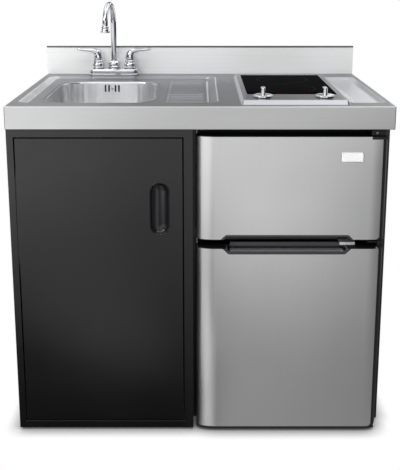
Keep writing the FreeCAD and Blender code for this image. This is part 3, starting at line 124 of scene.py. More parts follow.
class Finish:
    """Material under construction: a shader whose sockets are set once, plus procedural detail."""

    def __init__(self, name, colour, **sockets):
        self.material, self.tree = node_material(name)
        self.surface = self.tree.nodes["Principled BSDF"]
        self.colour = colour
        self.surface.inputs["Base Color"].default_value = (*colour, 1)
        for socket, value in sockets.items():
            self.surface.inputs[socket.replace("_", " ")].default_value = value
        self.coords = self.tree.nodes.new("ShaderNodeTexCoord")

    def link(self, source, socket):
        self.tree.links.new(source, self.surface.inputs[socket])

    def noise(self, scale, stretch=(1, 1, 1), detail=4):
        mapping = self.tree.nodes.new("ShaderNodeMapping")
        mapping.inputs["Scale"].default_value = stretch
        texture = self.tree.nodes.new("ShaderNodeTexNoise")
        texture.inputs["Scale"].default_value = scale
        texture.inputs["Detail"].default_value = detail
        self.tree.links.new(self.coords.outputs["Object"], mapping.inputs["Vector"])
        self.tree.links.new(mapping.outputs["Vector"], texture.inputs["Vector"])
        return texture.outputs["Fac"]

    def mottle(self, source, *shares):
        """Colour that wanders between two shares of itself."""
        ramp = self.tree.nodes.new("ShaderNodeValToRGB")
        for stop, place, share in zip(ramp.color_ramp.elements, MOTTLE_STOPS, shares):
            stop.position = place
            stop.color = (*[min(channel * share, 1) for channel in self.colour], 1)
        self.tree.links.new(source, ramp.inputs["Fac"])
        self.link(ramp.outputs["Color"], "Base Color")

    def roughness(self, source, rough, low_share, high_share):
        """Roughness that wanders between two shares of itself."""
        levels = (rough * low_share, rough * high_share)
        self.link(spread(self.tree, source, *NOISE_SPAN, *levels, "LINEAR", clamp=False), "Roughness")

    def bump(self, source, depth, strength):
        bump = self.tree.nodes.new("ShaderNodeBump")
        bump.inputs["Distance"].default_value = depth
        bump.inputs["Strength"].default_value = strength
        self.tree.links.new(source, bump.inputs["Height"])
        self.link(bump.outputs["Normal"], "Normal")


def brushed(name, colour, rough, grain=(2, 320, 320), contrast=0.03, depth=0.000002, metal=1.0, edge=1.0):
    """Metal with a fine straight grain and faint handling marks; edge is its tint at a glancing angle."""
    finish = Finish(name, colour, Metallic=metal, Specular_Tint=(edge, edge, edge, 1))
    lines = finish.noise(1, grain, 6)
    finish.mottle(lines, 1 - contrast, 1 + contrast)
    finish.roughness(finish.noise(6, detail=2), rough, 0.85, 1.15)
    finish.bump(lines, depth, 0.35)
    return finish.material


def polished(name, colour, rough):
    """Bright plated metal with faint water marks."""
    finish = Finish(name, colour, Metallic=1.0)
    finish.mottle(finish.noise(45, detail=5), 0.97, 1.02)
    finish.roughness(finish.noise(90), rough, 0.6, 1.6)
    return finish.material


def coated(name, colour, rough, peel=900, depth=0.00003, specular=0.5):
    """Sprayed or moulded finish with a fine skin texture."""
    finish = Finish(name, colour, Specular_IOR_Level=specular)
    finish.mottle(finish.noise(5, detail=3), 0.9, 1.1)
    finish.roughness(finish.noise(11, detail=5), rough, 0.9, 1.12)
    finish.bump(finish.noise(peel, detail=2), depth, 0.4)
    return finish.material


def clear(name, colour, rough, index):
    """See-through plastic or glass with faint haze."""
    finish = Finish(name, colour, Transmission_Weight=0.92, IOR=index)
    finish.roughness(finish.noise(20), rough, 0.5, 1.6)
    return finish.material


def painted_light_patch(source, metal, spans):
    """Copy of a metal with a painted sheen: it turns less metallic and so paler where every span (axis, place
    span, two levels) is high.
    """
    material = source.copy()
    material.name = f"satin_{source.name}"
    tree = material.node_tree
    metallic = tree.nodes["Principled BSDF"].inputs["Metallic"]
    axes = axes_of(tree, tree.nodes["Texture Coordinate"])
    share = product(tree, *[spread(tree, axes[axis], *span) for axis, *span in spans])
    tree.links.new(spread(tree, share, 0, 1, metallic.default_value, metal, "LINEAR"), metallic)
    return material


FINISHES = {
    "stainless": brushed("stainless_steel", (0.63, 0.633, 0.637), 0.3),
    "door_steel": brushed("coated_door_steel", (0.78, 0.78, 0.785), 0.34, (320, 320, 1.5), 0.012, 0.000001),
    "chrome": polished("chrome_plate", (0.70, 0.71, 0.735), 0.05),
    "brass": polished("machined_brass", (0.72, 0.52, 0.22), 0.2),
    "hob_steel": brushed("hob_trim_steel", (0.5, 0.51, 0.53), 0.3, (900, 3, 900)),
    "hob_strip": brushed("dark_strip_steel", (0.19, 0.195, 0.205), 0.34),
    "black_glass": coated("black_ceramic_glass", (0.0007, 0.0007, 0.0009), 0.05, 60, 0.000001, 0.0001),
    "zinc_steel": brushed("zinc_sheet", (0.5, 0.51, 0.52), 0.45, (30, 30, 30)),
    "black_steel": coated("black_powder_coat", (0.003, 0.003, 0.0033), 0.32, 700, 0.00001, 0.7),
    "black_shell": coated("black_shell_coat", (0.008, 0.008, 0.009), 0.5, 450, 0.00004, 0.4),
    "black_plastic": coated("black_moulding", (0.010, 0.010, 0.011), 0.45, 1100, 0.00003, 0.4),
    "black_gloss": coated("black_gloss_moulding", (0.008, 0.008, 0.010), 0.17, 60, 0.000004),
    "white_plastic": coated("white_liner", (0.78, 0.79, 0.79), 0.32, 120, 0.00001),
    "clear_plastic": clear("clear_moulding", (0.9, 0.93, 0.94), 0.08, 1.49),
    "shelf_glass": clear("toughened_glass", (0.82, 0.92, 0.89), 0.02, 1.5),
    "grey_rubber": coated("seal_rubber", (0.05, 0.05, 0.052), 0.6, 1300, 0.00005, 0.3),
    "drain_plastic": coated("drain_moulding", (0.03, 0.03, 0.03), 0.5),
    "red_lens": coated("red_lens", (0.6, 0.012, 0.01), 0.12, 200, 0.00001),
    "ceramic_fibre": coated("ceramic_fibre", (0.5, 0.45, 0.4), 0.85, 500, 0.0003),
}
# Paler, partly matt copy of the stainless for the upstand: painted light.
SPLASH_STEEL_PAINTED_LIGHT = brushed("upstand_steel_painted_light", (0.85, 0.85, 0.852), 0.42, metal=0.6)
# Paler copy of the stainless for the bowl's walls: painted light.
BOWL_STEEL_PAINTED_LIGHT = brushed("bowl_steel_painted_light", (0.87, 0.873, 0.88), 0.17, (300, 300, 4), metal=0.95)
# Darker copy of the stainless for faces that look up: painted shade.
DECK_STEEL_PAINTED_SHADE = brushed("satin_deck_steel", (0.42, 0.432, 0.453), 0.36, edge=0.6)
# Paler copy of the stainless for the landing: painted light.
LANDING_STEEL_PAINTED_LIGHT = brushed("landing_steel_painted_light", (0.60, 0.622, 0.645), 0.3)
# Dark steel for the upstand's hem: painted shade.
HEM_STEEL_PAINTED_SHADE = brushed("shaded_hem_steel", (0.16, 0.162, 0.166), 0.4, edge=0.4)
# Darker copy of the hob steel for the frame's upward faces: painted shade.
HOB_SIDE_PAINTED_SHADE = brushed("hob_side_steel_painted_shade", (0.28, 0.285, 0.3), 0.32)
# Zinc plate for the hinge bracket, made pale and half matt as a painted highlight.
BRACKET_ZINC_PAINTED_HIGHLIGHT = brushed("zinc_plate_painted_highlight", (0.9, 0.9, 0.91), 0.3, metal=0.35)
COPPER = polished("copper_tube", (0.72, 0.36, 0.22), 0.28)
BADGE_WHITE = coated("plain_badge_enamel", (0.86, 0.86, 0.86), 0.3, 200, 0.000005)
# Near-black finish put in the overflow slots and screw crosses: painted shade.
SLOT_PAINTED_SHADE = coated("slot_shadow", (0.003, 0.003, 0.003), 0.8)
ZONE_GREY = coated("zone_print", (0.0035, 0.0035, 0.0039), 0.3, specular=0.002)
TRIM_GREY = coated("mullion_trim", (0.06, 0.06, 0.066), 0.38)
LIP_BLACK = coated("grip_lip_moulding", (0.026, 0.026, 0.03), 0.3, 60, 0.00001)
# Paler grey for the upward faces of the fridge door's grip: painted light.
SCOOP_PAINTED_LIGHT = coated("grip_floor_painted_light", (0.16, 0.16, 0.175), 0.32, 60, 0.00001)
# Grey paler than the door's black plastic for the finger rail: painted light.
RAIL_PAINTED_LIGHT = coated("finger_rail_painted_light", (0.055, 0.055, 0.063), 0.3, 60, 0.00001)

for node, slot_name in SLOT_OF.items():
    for holder in NODES[node].material_slots:
        holder.material = FINISHES[slot_name]


# mesh building

def loft(rings, start=True, end=True):
    """Skin through rings of equal length; rings that climb face outwards, rings that sink face inwards."""
    count = len(rings[0])
    faces = []
    for ring in range(len(rings) - 1):
        low, high = ring * count, (ring + 1) * count
        for i in range(count):
            j = (i + 1) % count
            faces.append((low + i, low + j, high + j, high + i))
    if start:
        faces.append(tuple(reversed(range(count))))
    if end:
        faces.append(tuple(range((len(rings) - 1) * count, len(rings) * count)))
    return [Vector(point) for ring in rings for point in ring], faces


def merged(*shapes):
    points, faces = [], []
    for shape_points, shape_faces in shapes:
        base = len(points)
        points += shape_points
        faces += [tuple(base + i for i in face) for face in shape_faces]
    return points, faces


def placed(shape, matrix):
    return [matrix @ point for point in shape[0]], shape[1]


def facing_front(x, y, z):
    """Places a shape built on z = 0 so that its top faces -Y at a point."""
    return Matrix.Translation((x, y, z)) @ Matrix.Rotation(QUARTER, 4, "X")


def middle(low, high):
    """Centre (x, y) of a box, seen from above."""
    return (low.x + high.x) / 2, (low.y + high.y) / 2


def arc(radius, first, last, steps):
    """Points (radius * cos, radius * sin) between two angles."""
    angles = [first + (last - first) * i / steps for i in range(steps + 1)]
    return [(radius * math.cos(angle), radius * math.sin(angle)) for angle in angles]


def round_rectangle(x, y, radius, steps=CORNER_STEPS, side_steps=1):
    """Counter-clockwise outline (x, y) of a rectangle with round corners."""
    radius = max(radius, 0)
    (left, right), (front, back) = grown(x, -radius), grown(y, -radius)
    bends = []
    for i, (centre_u, centre_v) in enumerate(((right, front), (right, back), (left, back), (left, front))):
        bend = arc(radius, (i - 1) * QUARTER, i * QUARTER, steps)
        bends.append([(centre_u + u, centre_v + v) for u, v in bend])
    outline = []
    for bend, following in zip(bends, bends[1:] + bends[:1]):
        outline += bend
        (u0, v0), (u1, v1) = bend[-1], following[0]
        for i in range(1, side_steps):
            share = i / side_steps
            outline.append((u0 + (u1 - u0) * share, v0 + (v1 - v0) * share))
    return outline


def grown(span, margin):
    return span[0] - margin, span[1] + margin


def rounded_stack(x, y, radius, layers, **detail):
    """Rings of one rounded rectangle: each layer is (growth of the outline, height)."""
    return [[(u, v, height) for u, v in round_rectangle(grown(x, out), grown(y, out), radius + out, **detail)]
            for out, height in layers]


def bevelled(low, high, soft):
    """Layers of an upright side with a small bevel at its top."""
    return [(0, low), (0, high - soft), (-soft, high)]


def round_top(radius, high, steps):
    """Layers of a quarter-round edge up to a height."""
    return [(u - radius, high - radius + v) for u, v in arc(radius, 0, QUARTER, steps)]


def front_form(width, height, radius, layers, place, steps=4, start=True):
    """Rounded rectangle in layers (growth of the outline, height), facing the front at a place."""
    rings = rounded_stack((-width / 2, width / 2), (-height / 2, height / 2), radius, layers, steps=steps)
    return placed(loft(rings, start=start), facing_front(*place))


def circle(radius, height, centre=(0, 0), steps=ROUND_STEPS):
    """Level ring of points."""
    x, y = centre
    turns = [2 * math.pi * i / steps for i in range(steps)]
    return [(x + radius * math.cos(turn), y + radius * math.sin(turn), height) for turn in turns]


def lathe(profile, centre=(0, 0), steps=ROUND_STEPS):
    """Solid of revolution about an upright axis; profile (radius, height) climbs on the outside."""
    return loft([circle(radius, height, centre, steps) for radius, height in profile])


def moulded(radius, low, high, shares, centre=(0, 0), steps=ROUND_STEPS):
    """Turned form between two heights; shares are (of the radius, of the height)."""
    return lathe([(radius * wide, low + (high - low) * tall) for wide, tall in shares], centre, steps)


def sweep(path, sections, side, steps=24):
    """Tube along a path; each section is (half width, half height) and side is the first width direction."""
    path = [Vector(point) for point in path]
    side = Vector(side)
    turns = [2 * math.pi * k / steps for k in range(steps)]
    rings = []
    for i, (wide, high) in enumerate(sections):
        along = (path[min(i + 1, len(path) - 1)] - path[max(i - 1, 0)]).normalized()
        side = (side - along * side.dot(along)).normalized()
        rise = along.cross(side)
        rings.append([path[i] + side * wide * math.cos(turn) + rise * high * math.sin(turn)
                      for turn in turns])
    return loft(rings)


def finished_mesh(name, shape, limit=SMOOTH_LIMIT):
    mesh = bpy.data.meshes.new(name)
    mesh.from_pydata([tuple(point) for point in shape[0]], [], shape[1])
    mesh.validate()
    return welded(mesh, limit)


def welded(mesh, limit=SMOOTH_LIMIT):
    """Joins split corners and shades smooth up to a crease angle."""
    form = bmesh.new()
    form.from_mesh(mesh)
    bmesh.ops.remove_doubles(form, verts=form.verts, dist=WELD)
    bmesh.ops.dissolve_degenerate(form, edges=form.edges, dist=WELD)
    form.to_mesh(mesh)
    form.free()
    mesh.shade_smooth()
    mesh.set_sharp_from_angle(angle=limit)
    return mesh


# pieces

def linked(name, data):
    """New object in the scene."""
    item = bpy.data.objects.new(name, data)
    SCENE.collection.objects.link(item)
    return item


def add_piece(name, mesh, body, slot_name, material=None, stands_for=()):
    piece = linked(name, mesh)
    mesh.materials.clear()
    mesh.materials.append(material or FINISHES[slot_name])
    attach(piece, body)
    if stands_for:
        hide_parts(*stands_for)
    return piece


def even_shading(piece):
    """Keeps large flat faces flat where they meet small rounds."""
    shading = piece.modifiers.new("even_shading", "WEIGHTED_NORMAL")
    shading.keep_sharp = True
    shading.weight = 100
    return piece


def stand_in(node, shape, limit=SMOOTH_LIMIT, sheet=0.0):
    """Detailed mesh in place of one CAD node, on the same body and slot, with an optional sheet thickness."""
    piece = add_piece(f"{node}_formed", finished_mesh(f"{node}_formed", shape, limit), BODY_OF[node],
                      SLOT_OF[node], stands_for=[node])
    if sheet:
        thickness = piece.modifiers.new("sheet", "SOLIDIFY")
        thickness.thickness = sheet
        thickness.offset = -1
    return even_shading(piece)


def trim(name, shape, body, slot_name, material=None):
    return even_shading(add_piece(name, finished_mesh(name, shape), body, slot_name, material))


def sharp_edge(edge, least):
    return len(edge.link_faces) == 2 and edge.calc_face_angle() > SHARP_ANGLE and edge.calc_length() > least


def dress(node, width=0.0, segments=2, chosen=None):
    """Copy of a CAD node with smooth shading; a width merges flat faces and rounds the long edges."""
    mesh = NODES[node].data.copy()
    mesh.name = f"{node}_dressed"
    form = bmesh.new()
    form.from_mesh(mesh)
    bmesh.ops.remove_doubles(form, verts=form.verts, dist=WELD)
    if width:
        bmesh.ops.dissolve_limit(form, angle_limit=FLAT_ANGLE, verts=form.verts, edges=form.edges)
        edges = [edge for edge in form.edges
                 if sharp_edge(edge, 4 * width) and (chosen is None or chosen(edge))]
        bmesh.ops.bevel(form, geom=edges, offset=width, offset_type="OFFSET", segments=segments, profile=0.5,
                        affect="EDGES", clamp_overlap=True)
    form.to_mesh(mesh)
    form.free()
    piece = add_piece(f"{node}_dressed", welded(mesh), BODY_OF[node], SLOT_OF[node], stands_for=[node])
    return even_shading(piece)


def dress_all(nodes, width=0.0, segments=2):
    for node in nodes:
        dress(node, width, segments)


def paint(piece, material, chosen):
    """Puts one more finish on the faces of a piece that a test chooses."""
    piece.data.materials.append(material)
    for face in piece.data.polygons:
        if chosen(face):
            face.material_index = len(piece.data.materials) - 1


SCREW_RADIUS, SCREW_HEIGHT = 0.0035, 0.002
# Domed screw head, as shares of its radius and height, and the cross on it.
HEAD_SHARES = [(1, 0), (1, 0.35), (0.8, 0.8), (0.35, 1)]
CROSS_REACH_SHARE, CROSS_WIDTH_SHARE, CROSS_SHARES = 0.6, 0.14, (0.9, 1.06)


def add_screw(name, place, slot_name):
    """Screw head with its cross painted dark as shade in its recess, which faces the front at a place on the
    unit.
    """
    head = moulded(SCREW_RADIUS, 0, SCREW_HEIGHT, HEAD_SHARES, steps=20)
    reach, notch = SCREW_RADIUS * CROSS_REACH_SHARE, SCREW_RADIUS * CROSS_WIDTH_SHARE
    layers = [(0, SCREW_HEIGHT * share) for share in CROSS_SHARES]
    bars = [loft(rounded_stack((-x, x), (-y, y), notch, layers, steps=2))
            for x, y in ((reach, notch), (notch, reach))]
    trim(name, placed(head, facing_front(*place)), "unit", slot_name)
    trim(f"{name}_cross", placed(merged(*bars), facing_front(*place)), "unit", slot_name, SLOT_PAINTED_SHADE)


# pressed worktop

TOP_LOW, TOP_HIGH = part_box("worktop")
DECK = TOP_HIGH.z
EDGE_RADIUS = 0.003
FLAT_RIM = 0.006
APRON_LIP = 0.014
LIP_SHEET = 0.0015
GRID_STEP = 0.005
RIB_GRID_STEP = 0.0025
SHEET = 0.0012
RECESS_LEFT, RECESS_WIDTH, RECESS_FRONT, RECESS_REAR = 0.021, 0.523, 0.0555, 0.0545
RECESS_CORNER, RECESS_BEVEL, RECESS_DROP = 0.034, 0.022, 0.007
LANDING_RIGHT, LANDING_WIDTH, LANDING_FRONT, LANDING_REAR = 0.013, 0.095, 0.0545, 0.0845
LANDING_CORNER, LANDING_BEVEL, LANDING_DROP = 0.016, 0.018, 0.004
DRAINER_LEFT, DRAINER_WIDTH, DRAINER_FRONT, DRAINER_REAR = 0.405, 0.107, 0.1115, 0.1295
DRAINER_BORDER, DRAINER_STEP, DRAINER_BEVEL = 0.007, 0.0012, 0.005
RIB_COUNT, RIB_WIDTH, RIB_HEIGHT, RIB_END = 13, 0.012, 0.0018, 0.006
STRAIGHT_SHARE = 0.6
BOWL_RIM = 0.008
BOWL_CORNER = 0.075
HOB_CUT = 0.011
# Limits on a face's normal: level, facing up, and slanting to one side.
FLAT_ENOUGH, FACES_UP, SLANTED = 0.985, 0.8, 0.1
EDGE_LINE = 0.0055
DECK_DEPTH = RECESS_DROP + DRAINER_STEP + SHEET

RECESS_X = (TOP_LOW.x + RECESS_LEFT, TOP_LOW.x + RECESS_LEFT + RECESS_WIDTH)
RECESS_Y = (TOP_LOW.y + RECESS_FRONT, TOP_HIGH.y - RECESS_REAR)
LANDING_X = (TOP_HIGH.x - LANDING_RIGHT - LANDING_WIDTH, TOP_HIGH.x - LANDING_RIGHT)
LANDING_Y = (TOP_LOW.y + LANDING_FRONT, TOP_HIGH.y - LANDING_REAR)
DRAINER_X = (TOP_LOW.x + DRAINER_LEFT, TOP_LOW.x + DRAINER_LEFT + DRAINER_WIDTH)
DRAINER_Y = (TOP_LOW.y + DRAINER_FRONT, TOP_HIGH.y - DRAINER_REAR)
BOWL_LOW, BOWL_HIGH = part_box("sink_bowl")
BOWL_X = (BOWL_LOW.x + BOWL_RIM, BOWL_HIGH.x - BOWL_RIM)
BOWL_Y = (BOWL_LOW.y + BOWL_RIM, BOWL_HIGH.y - BOWL_RIM)
HOB_LOW, HOB_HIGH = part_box("hob_frame")
HOB_CUT_X = grown((HOB_LOW.x, HOB_HIGH.x), -HOB_CUT)
HOB_CUT_Y = grown((HOB_LOW.y, HOB_HIGH.y), -HOB_CUT)


def depth_inside(x, y, span_x, span_y, corner):
    """Distance in from the edge of a rounded rectangle, negative outside it."""
    reach_x = abs(x - sum(span_x) / 2) - (span_x[1] - span_x[0]) / 2 + corner
    reach_y = abs(y - sum(span_y) / 2) - (span_y[1] - span_y[0]) / 2 + corner
    return corner - math.hypot(max(reach_x, 0), max(reach_y, 0)) - min(max(reach_x, reach_y), 0)


def ramp(share):
    """Rises from 0 to 1 with a nearly straight flank."""
    share = min(max(share, 0), 1)
    eased = share * share * (3 - 2 * share)
    return STRAIGHT_SHARE * share + (1 - STRAIGHT_SHARE) * eased


def rib_height(x, y):
    """Height of the drainer's ribs above its sunk floor."""
    pitch = (DRAINER_Y[1] - DRAINER_Y[0] - RIB_WIDTH) / (RIB_COUNT - 1)
    index = min(max(round((y - DRAINER_Y[0] - RIB_WIDTH / 2) / pitch), 0), RIB_COUNT - 1)
    across = abs(y - DRAINER_Y[0] - RIB_WIDTH / 2 - index * pitch)
    ends = min(x - DRAINER_X[0], DRAINER_X[1] - x)
    return RIB_HEIGHT * ramp(2 - 4 * across / RIB_WIDTH) * ramp(ends / RIB_END)


def deck_height(x, y):
    drop = RECESS_DROP * ramp(depth_inside(x, y, RECESS_X, RECESS_Y, RECESS_CORNER) / RECESS_BEVEL)
    drop += LANDING_DROP * ramp(depth_inside(x, y, LANDING_X, LANDING_Y, LANDING_CORNER) / LANDING_BEVEL)
    border = (grown(DRAINER_X, DRAINER_BORDER), grown(DRAINER_Y, DRAINER_BORDER))
    drop += DRAINER_STEP * ramp(depth_inside(x, y, *border, DRAINER_BORDER) / DRAINER_BEVEL)
    return DECK - drop + rib_height(x, y)


def stations(span, step, marks):
    """Grid lines over a span: the ends, the marks, and even steps, all kept clear of each other."""
    count = round((span[1] - span[0]) / step)
    even = [span[0] + (span[1] - span[0]) * i / count for i in range(1, count)]
    kept = [*span]
    for place in [mark for mark in marks if span[0] < mark < span[1]] + even:
        if all(abs(place - other) > step / 3 for other in kept):
            kept.append(place)
    return sorted(kept)


def in_opening(x, y):
    """Whether a place on the deck lies in the hob's cut-out or the bowl's opening."""
    in_hob = HOB_CUT_X[0] < x < HOB_CUT_X[1] and HOB_CUT_Y[0] < y < HOB_CUT_Y[1]
    return in_hob or depth_inside(x, y, BOWL_X, BOWL_Y, BOWL_CORNER) > -BOWL_RIM / 2


def pressed_deck():
    """Grid over the whole top with both recesses, the ribbed drainer and the openings."""
    edges_x = [*RECESS_X, *grown(RECESS_X, -RECESS_BEVEL), *LANDING_X, *grown(LANDING_X, -LANDING_BEVEL),
               *HOB_CUT_X, *grown(DRAINER_X, DRAINER_BORDER),
               *grown(DRAINER_X, DRAINER_BORDER - DRAINER_BEVEL), *DRAINER_X]
    edges_y = [*RECESS_Y, *grown(RECESS_Y, -RECESS_BEVEL), *LANDING_Y, *grown(LANDING_Y, -LANDING_BEVEL),
               *HOB_CUT_Y]
    columns = stations(grown((TOP_LOW.x, TOP_HIGH.x), -FLAT_RIM), GRID_STEP, edges_x)
    rows = stations(grown((TOP_LOW.y, TOP_HIGH.y), -FLAT_RIM), RIB_GRID_STEP, edges_y)
    points = [Vector((x, y, deck_height(x, y))) for y in rows for x in columns]
    faces = []
    for j in range(len(rows) - 1):
        for i in range(len(columns) - 1):
            if not in_opening((columns[i] + columns[i + 1]) / 2, (rows[j] + rows[j + 1]) / 2):
                first = j * len(columns) + i
                faces.append((first, first + 1, first + 1 + len(columns), first + len(columns)))
    return points, faces


def apron():
    """Rounded top edge, upright apron and inward lip all round, facing outwards."""
    layers = [(-APRON_LIP, TOP_LOW.z + LIP_SHEET), (-APRON_LIP, TOP_LOW.z), (-LIP_SHEET, TOP_LOW.z),
              (0, TOP_LOW.z + LIP_SHEET), *round_top(EDGE_RADIUS, DECK, 5), (-FLAT_RIM, DECK)]
    rings = rounded_stack((TOP_LOW.x, TOP_HIGH.x), (TOP_LOW.y, TOP_HIGH.y), EDGE_RADIUS, layers, steps=4)
    return loft(rings, start=False, end=False)


def on_deck(face):
    """Upward faces of the deck, which get darker steel as painted shade, without the recess's left bevel and
    the thin lines that face left, which keep the paler steel as painted light.
    """
    left_bevel = face.normal.x > SLANTED and face.center.x < BOWL_X[0]
    in_slope = RECESS_X[1] - RECESS_BEVEL < face.center.x < RECESS_X[1] - EDGE_LINE
    left_line = face.normal.x < -SLANTED and not in_slope
    return face.normal.z > FACES_UP and face.center.z > DECK - DECK_DEPTH and not (left_bevel or left_line)


def on_landing(face):
    return depth_inside(face.center.x, face.center.y, LANDING_X, LANDING_Y, LANDING_CORNER) > 0


def faces_up(face):
    return face.normal.z > FLAT_ENOUGH


worktop = stand_in("worktop", merged(pressed_deck(), apron()), DECK_LIMIT, SHEET)
# Darker steel on the deck's upward faces: painted shade.
paint(worktop, DECK_STEEL_PAINTED_SHADE, on_deck)
# Paler steel on the landing: painted light.
paint(worktop, LANDING_STEEL_PAINTED_LIGHT, on_landing)
splash = dress("backsplash")
# Paler, partly matt steel on the upstand: painted light.
splash.data.materials[0] = SPLASH_STEEL_PAINTED_LIGHT
# Darker steel on the upstand's top face: painted shade.
paint(splash, DECK_STEEL_PAINTED_SHADE, faces_up)

SPLASH_LOW, SPLASH_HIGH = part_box("backsplash")
HEM_HEIGHT, HEM_PROUD, HEM_THICK, HEM_ROUND = 0.0042, 0.0008, 0.004, 0.0008


def splash_hem():
    """Folded hem along the upstand's top front edge, in dark steel as a painted line of shade."""
    layers = bevelled(-HEM_THICK, HEM_PROUD, HEM_ROUND / 2)
    place = (middle(SPLASH_LOW, SPLASH_HIGH)[0], SPLASH_LOW.y, SPLASH_HIGH.z - HEM_HEIGHT / 2)
    return front_form(SPLASH_HIGH.x - SPLASH_LOW.x, HEM_HEIGHT, HEM_ROUND, layers, place, 3)


# Dark hem steel: painted shade along the upstand's top edge.
trim("upstand_hem", splash_hem(), "unit", "stainless", HEM_STEEL_PAINTED_SHADE)

# sink bowl

BOWL_FLANGE = 0.011
RIM_RADIUS = 0.006
RIM_PROUD = 0.0006
WALL_DRAFT = 0.004
FLOOR_RADIUS = 0.035
FLOOR_LIFT = 0.0015
FLOOR_FALL = 0.002
DRAIN_RADIUS = 0.05
BOWL_SHEET = 0.0012
DRAIN_X, DRAIN_Y = sum(BOWL_X) / 2, sum(BOWL_Y) / 2
RECESS_FLOOR = DECK - RECESS_DROP
BOWL_FLOOR = BOWL_LOW.z + FLOOR_LIFT
FLOOR_SHARES = (0.25, 0.5, 0.75, 1.0)
# Painted sheen: paler, less metallic steel on the middle of the bowl's rear wall.
BOWL_PAINTED_SHEEN = [("X", DRAIN_X - 0.10, DRAIN_X - 0.03, 0.0, 1.0),
              ("X", DRAIN_X + 0.04, DRAIN_X + 0.11, 1.0, 0.0),
              ("Y", BOWL_Y[1] - 0.06, BOWL_Y[1] - 0.03, 0.0, 1.0)]
BOWL_PAINTED_SHEEN_METAL = 0.7


def bowl_shape():
    """Rolled rim, drafted walls, round floor edge and a floor that falls to the drain."""
    top = RECESS_FLOOR + RIM_PROUD
    wall_top, wall_foot = top - RIM_RADIUS, BOWL_FLOOR + FLOOR_RADIUS
    layers = [(BOWL_FLANGE, RECESS_FLOOR - RIM_PROUD), (BOWL_FLANGE, top - RIM_PROUD / 2),
              (BOWL_FLANGE - RIM_PROUD, top)]
    layers += [(RIM_RADIUS - u, wall_top + v) for u, v in arc(RIM_RADIUS, QUARTER, 0, 6)]
    layers += [(-WALL_DRAFT * share, wall_top + (wall_foot - wall_top) * share) for share in FLOOR_SHARES]
    inset = WALL_DRAFT + FLOOR_RADIUS
    layers += [(u - inset, wall_foot + v) for u, v in arc(FLOOR_RADIUS, 0, -QUARTER, 8)[1:]]
    rings = rounded_stack(BOWL_X, BOWL_Y, BOWL_CORNER, layers, side_steps=6)
    edge = rings[-1]
    for share in FLOOR_SHARES:
        ring = []
        for x, y, _ in edge:
            turn = math.atan2(y - DRAIN_Y, x - DRAIN_X)
            end_x, end_y = DRAIN_X + DRAIN_RADIUS * math.cos(turn), DRAIN_Y + DRAIN_RADIUS * math.sin(turn)
            ring.append((x + (end_x - x) * share, y + (end_y - y) * share, BOWL_FLOOR - FLOOR_FALL * share))
        rings.append(ring)
    return loft(rings, start=False, end=False)


def painted_shade_in_bowl(face):
    """Rim and floor of the bowl, which get darker steel as painted shade."""
    return face.center.z > RECESS_FLOOR - RIM_RADIUS / 2 or face.normal.z > FACES_UP


bowl = stand_in("sink_bowl", bowl_shape(), BOWL_LIMIT, BOWL_SHEET)
# Paler steel on the bowl's walls, with a painted sheen patch: painted light.
bowl.data.materials[0] = painted_light_patch(BOWL_STEEL_PAINTED_LIGHT, BOWL_PAINTED_SHEEN_METAL, BOWL_PAINTED_SHEEN)
# Darker steel on the bowl's rim and floor: painted shade.
paint(bowl, DECK_STEEL_PAINTED_SHADE, painted_shade_in_bowl)

SLOT_WIDTH, SLOT_HEIGHT, SLOT_BELOW = 0.005, 0.022, 0.017
SLOT_PITCH, SLOT_MIDDLE = 0.0106, 0.020
SLOT_DEPTH, SLOT_PROUD = 0.006, 0.0012
SLOT_Z = DECK - SLOT_BELOW - SLOT_HEIGHT / 2
OVERFLOW_SCREW_LIFT = 0.0006


def overflow_slot(side, count):
    x = DRAIN_X + side * (SLOT_MIDDLE / 2 + count * SLOT_PITCH)
    layers = [(0, -SLOT_DEPTH), (0, SLOT_PROUD)]
    return front_form(SLOT_WIDTH, SLOT_HEIGHT, SLOT_WIDTH / 2, layers, (x, BOWL_Y[1], SLOT_Z), 5)


slots = [overflow_slot(side, count) for side in (-1, 1) for count in range(2)]
# Dark slot shapes standing in the openings: painted shade.
trim("overflow_slots", merged(*slots), "unit", "stainless", SLOT_PAINTED_SHADE)
add_screw("overflow_screw", (DRAIN_X, BOWL_Y[1] - OVERFLOW_SCREW_LIFT, SLOT_Z), "stainless")
dress_all(("strainer_body", "strainer_basket", "strainer_gasket", "strainer_locknut", "drain_tailpiece"))

# tap

BASE_LOW, BASE_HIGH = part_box("faucet_base")
TAP_X, TAP_Y = middle(BASE_LOW, BASE_HIGH)
BASE_CORNER = 0.017
BASE_SOFT = 0.008
# Foot of the base plate: (growth of the outline, height above the deck).
BASE_FOOT = [(0, 0), (0.0008, 0.001), (0.0008, 0.005), (-0.0006, 0.0065)]
TAP_SPREAD = 0.1016
BONNET_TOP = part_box("valve_bonnets")[1].z
COLLAR_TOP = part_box("spout_collar")[1].z


def base_shape():
    layers = [(out, DECK + rise) for out, rise in BASE_FOOT] + round_top(BASE_SOFT, BASE_HIGH.z, 6)
    return loft(rounded_stack((BASE_LOW.x, BASE_HIGH.x), (BASE_LOW.y, BASE_HIGH.y), BASE_CORNER, layers))


stand_in("faucet_base", base_shape())

